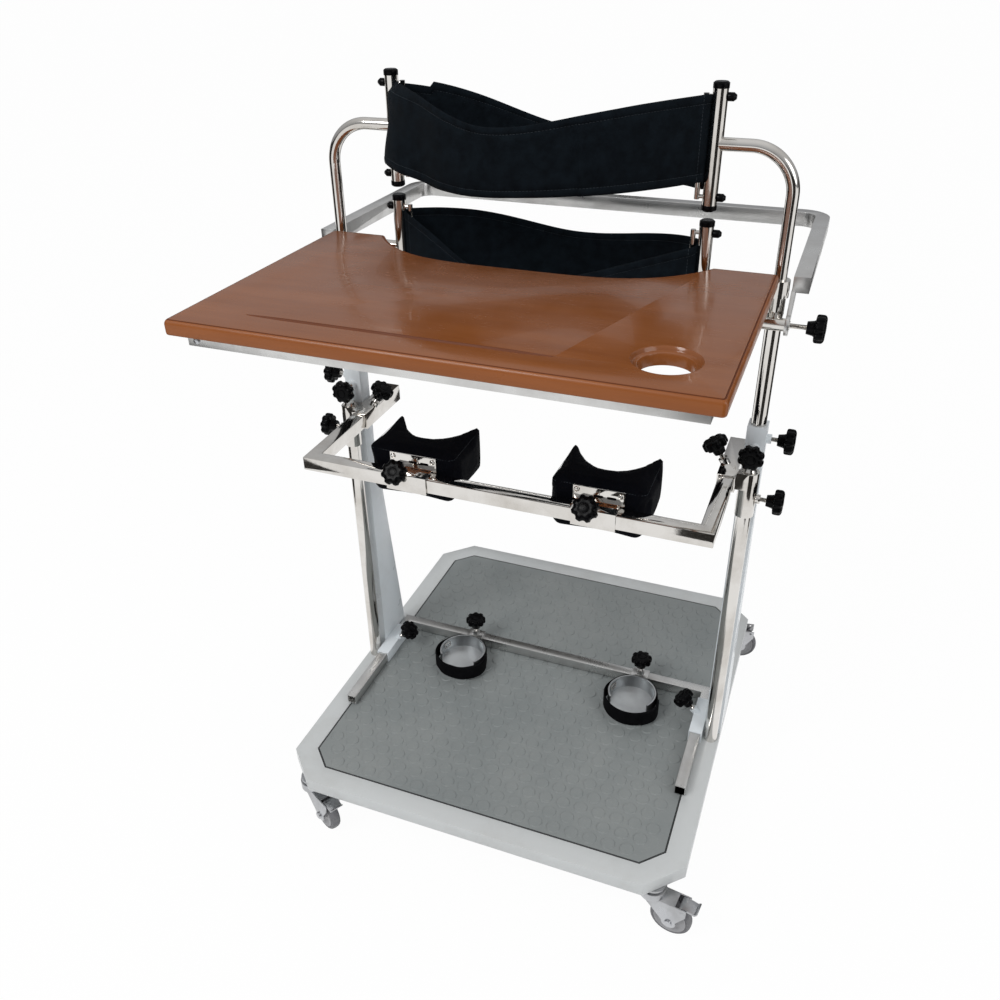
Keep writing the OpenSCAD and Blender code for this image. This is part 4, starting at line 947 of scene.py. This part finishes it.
# %% Heel straps
HEEL_Y, HEEL_Z, STRAP_IN, STRAP_T, STRAP_H, STRAP_GAP = 25.7, DECK + 9.0, 49.8, 2.5, 34.0, 26.0
STRAP_Z = DECK + 5.0
STRAP_MEAN_R, STRAP_LAP = 54.0, 2.2
# Turn in degrees and inner radius of each corner, and the turns over which a corner is softened
CORNERS = {
    "left": [(145, 49.8), (176, 57.0), (206, 60.0), (246, 57.5), (288, 58.5), (326, 58.5), (352, 53.0),
             (365, 49.8)],
    "right": [(150, 49.8), (180, 55.0), (206, 57.5), (236, 59.0), (264, 61.0), (292, 62.0), (320, 62.0),
              (338, 61.0), (354, 54.0), (365, 49.8)],
}
SOFTEN = range(-12, 13, 3)


def strap_radius(side, degrees):
    """Inner radius along straight runs between corners."""
    for (t1, r1), (t2, r2) in zip(CORNERS[side], CORNERS[side][1:]):
        if t1 <= degrees <= t2:
            a, b = math.radians(degrees - t1), math.radians(t2 - degrees)
            return max(STRAP_IN, r1 * r2 * math.sin(a + b) / (r1 * math.sin(a) + r2 * math.sin(b)))
    return STRAP_IN


def heel_strap(side, x):
    n, rings = 180, []
    rows = [0.0, 0.04, 0.12, 0.5, 0.88, 0.96, 1.0]
    puffed = [0.45, 0.9, 1.0, 1.0, 1.0, 0.9, 0.45]
    start, end = 90 + STRAP_GAP, 450 - STRAP_GAP
    for i in range(n + 1):
        t = start + (end - start) * i / n
        inner = sum(strap_radius(side, t + s) for s in SOFTEN) / len(SOFTEN)
        lap = STRAP_LAP if 0.60 < i / n < 0.78 else 0.0
        around = Vector((math.cos(math.radians(t)), math.sin(math.radians(t)), 0))

        def at(radius, v):
            return Vector((x, HEEL_Y, STRAP_Z + STRAP_H * v)) * MM + around * (radius * MM)
        outer = [at(inner + STRAP_T / 2 + (STRAP_T / 2 + lap) * b, v) for v, b in zip(rows, puffed)]
        inside = [at(inner + STRAP_T / 2 - STRAP_T / 2 * b, v) for v, b in zip(rows, puffed)]
        rings.append(outer + inside[::-1])
    points, faces = joined(rings)
    obj = piece(f"{side}_heel_strap_webbing", points, faces, [webbing], 60)
    outward(obj.data)
    shade(obj.data, 60)
    layer = obj.data.uv_layers.new(name="cloth")
    ring_n = 2 * len(rows)
    length = math.radians(end - start) * STRAP_MEAN_R
    for poly in obj.data.polygons:
        for loop in poly.loop_indices:
            i, k = divmod(obj.data.loops[loop].vertex_index, ring_n)
            k = k if k < len(rows) else ring_n - 1 - k
            layer.data[loop].uv = (length * i / n * MM, rows[k] * STRAP_H * MM)
    keep(obj, f"{side}_heel", "strap", f"{side}_heel_strap")
    return length


HEEL_X = {"left": -176.0, "right": 203.0}
for side, x in HEEL_X.items():
    print(side, "strap is", round(heel_strap(side, x)), "mm long")

# %% [markdown]
# A small wire loop on the inside of each cup takes the strap's other end. A round section swept along a
# rounded rectangle is one more closed run of rings.

# %% Wire loops in the cups
LOOP_TURN, LOOP_OUT, LOOP_UP, WIRE_R = 162, 44.4, 19, 1.1
LOOP_CORNERS = ((6, 3, 0), (-6, 3, 90), (-6, -3, 180), (6, -3, 270))
loop_line = [p for cx, cz, start in LOOP_CORNERS for p in arc(cx, cz, 2.5, start, start + 90, 5)]
for side, x in HEEL_X.items():
    turn = math.radians(LOOP_TURN)
    out = Vector((math.cos(turn), math.sin(turn), 0))
    sideways = Vector((-out.y, out.x, 0))
    middle = Vector((x, HEEL_Y, HEEL_Z + LOOP_UP)) + out * LOOP_OUT
    rings = []
    for dx, dz in loop_line:
        along = math.atan2(dz, dx)
        spoke = sideways * math.cos(along) + Vector((0, 0, math.sin(along)))
        centre = middle + sideways * dx + Vector((0, 0, dz))
        rings.append([(centre + (spoke * math.cos(a) + out * math.sin(a)) * WIRE_R) * MM
                      for a in (2 * math.pi * k / 10 for k in range(10))])
    points, faces = joined(rings, closed=True)
    keep(piece(f"{side}_cup_loop", points, faces, [chrome], 60), f"{side}_heel", "chrome")
print("wire loops made")

# %% [markdown]
# ## Casters
# Each caster is a grey tyre on a lighter hub in a zinc fork. The wheel is turned work, so two lathe profiles,
# each the same on both sides, make the tyre and the hub.

# %% Caster wheels
TYRE = [(29.5, -8.6), (31.5, -9.6), (34.2, -9.2), (36.3, -7.0), (37.3, -3.8)]
TREAD = [(37.5, 0.0)]
HUB_RINGS = [(4.1, -11.9), (8.6, -11.9), (9.4, -11.3), (10.0, -8.4), (11.2, -7.6), (22.0, -7.0), (25.5, -8.2),
             (27.5, -9.8), (29.4, -10.1), (29.9, -8.0)]


def turned_ring(half, place, middle=()):
    """A closed turned ring from one side of its profile."""
    whole = [*half, *middle, *[(r, -z) for r, z in reversed(half)]]
    return joined(lathe([(r * MM, z * MM) for r, z in whole], place, 96), closed=True)


for corner in ("front_left", "front_right", "rear_left", "rear_right"):
    node = f"{corner}_wheel"
    joint = JOINTS[node]
    place = axis_frame(joint["pos_m"], joint["axis"])
    points, faces, number = merge(turned_ring(TYRE, place, TREAD), turned_ring(HUB_RINGS, place))
    wheel = piece(f"{node}_turned", points, faces, [tyre_rubber, hub_plastic], 35, number)
    keep(wheel, node, "wheel", node)
print("caster wheels made")

# %% [markdown]
# ## Light and floor
# A pale floor, a soft world and two large lamps light the object at a plain level. The floor shows white to
# the camera and in reflections, and keeps a little of the shadow.

# %% Light, floor and world
floor_finish = Finish("floor_pale", roughness=0.9)
floor_tone = floor_finish.blend(floor_finish.noise(0.7, 2) * 0.1, (0.86, 0.86, 0.86), (0.8, 0.8, 0.8))
floor_finish.feed("Base Color", floor_tone)
rays = floor_finish.tree.nodes.new("ShaderNodeLightPath")
seen = Wire(floor_finish, rays.outputs["Is Camera Ray"]) + Wire(floor_finish, rays.outputs["Is Glossy Ray"])
seen = seen + Wire(floor_finish, rays.outputs["Is Transmission Ray"])
glow = floor_finish.node("ShaderNodeEmission", None, {"Color": (1, 1, 1, 1), "Strength": 1.0})
mixed = floor_finish.node("ShaderNodeMixShader", None, {0: seen * 0.97, 2: glow})
mix_node = mixed.socket.node
floor_finish.tree.links.new(floor_finish.shader.outputs[0], mix_node.inputs[1])
floor_finish.tree.links.new(mix_node.outputs[0], floor_finish.tree.nodes["Material Output"].inputs["Surface"])
FLOOR = 60
floor_corners = [(sx * FLOOR, sy * FLOOR, 0) for sx, sy in ((-1, -1), (1, -1), (1, 1), (-1, 1))]
floor = piece("floor", floor_corners, [(0, 1, 2, 3)], [floor_finish])

world = bpy.data.worlds.new("studio")
scene.world = world
world.use_nodes = True
sky = Graph(world.node_tree)
direction = sky.node("ShaderNodeTexCoord", out="Generated")
height = sky.tree.nodes.new("ShaderNodeSeparateXYZ")
sky.tree.links.new(direction.socket, height.inputs[0])
SKY = [(0.0, (0.5, 0.5, 0.5)), (0.5, (0.32, 0.32, 0.33)), (0.62, (0.55, 0.56, 0.58)), (1.0, (1.0, 1.0, 1.0))]
tone = sky.node("ShaderNodeValToRGB", {"stops": SKY}, {"Fac": Wire(sky, height.outputs[2]) * 0.5 + 0.5})
backdrop = world.node_tree.nodes["Background"]
sky.tree.links.new(tone.socket, backdrop.inputs["Color"])
backdrop.inputs["Strength"].default_value = 0.75


def lamp(name, spot_at, aim, size, watts):
    light = bpy.data.lights.new(name, "AREA")
    light.shape = "DISK"
    light.size = size
    light.energy = watts
    obj = bpy.data.objects.new(name, light)
    obj.matrix_world = axis_frame(spot_at, Vector(spot_at) - Vector(aim))
    scene.collection.objects.link(obj)


lamp("key", (-1.4, -2.6, 3.4), (0, 0, 0.7), 1.6, 64)
lamp("fill", (2.8, -1.2, 2.2), (0, 0, 0.7), 2.0, 24)
print("light and floor made")

# %% [markdown]
# Chrome shows only what stands round it, so a studio puts dark flags beside it to draw its edges. These are
# hidden from the camera, show in reflections alone and cast no shadow.

# %% Dark flags for the chrome
flag_cloth = Finish("flag_cloth", roughness=0.9)
flag_tone = flag_cloth.blend(flag_cloth.noise(8, 3), (0.02, 0.018, 0.016), (0.05, 0.045, 0.04))
flag_cloth.feed("Base Color", flag_tone)
# Azimuth in degrees, width and distance of each flag
FLAGS = ((-50, 0.95, 1.3), (-165, 1.0, 1.25), (34, 1.1, 1.3), (112, 0.9, 1.3))
FLAG_UP = Vector((0, 0, 1.3))
for k, (azimuth, width, reach) in enumerate(FLAGS):
    a = math.radians(azimuth)
    mid = Vector((math.cos(a), math.sin(a), 0)) * reach
    wide = Vector((-math.sin(a), math.cos(a), 0)) * width / 2
    ends = [mid - wide, mid + wide]
    flag = piece(f"flag_{k}", [*ends, ends[1] + FLAG_UP, ends[0] + FLAG_UP], [(0, 1, 2, 3)], [flag_cloth])
    flag.visible_camera = False
    flag.visible_diffuse = False
    flag.visible_shadow = False
print("flags made")
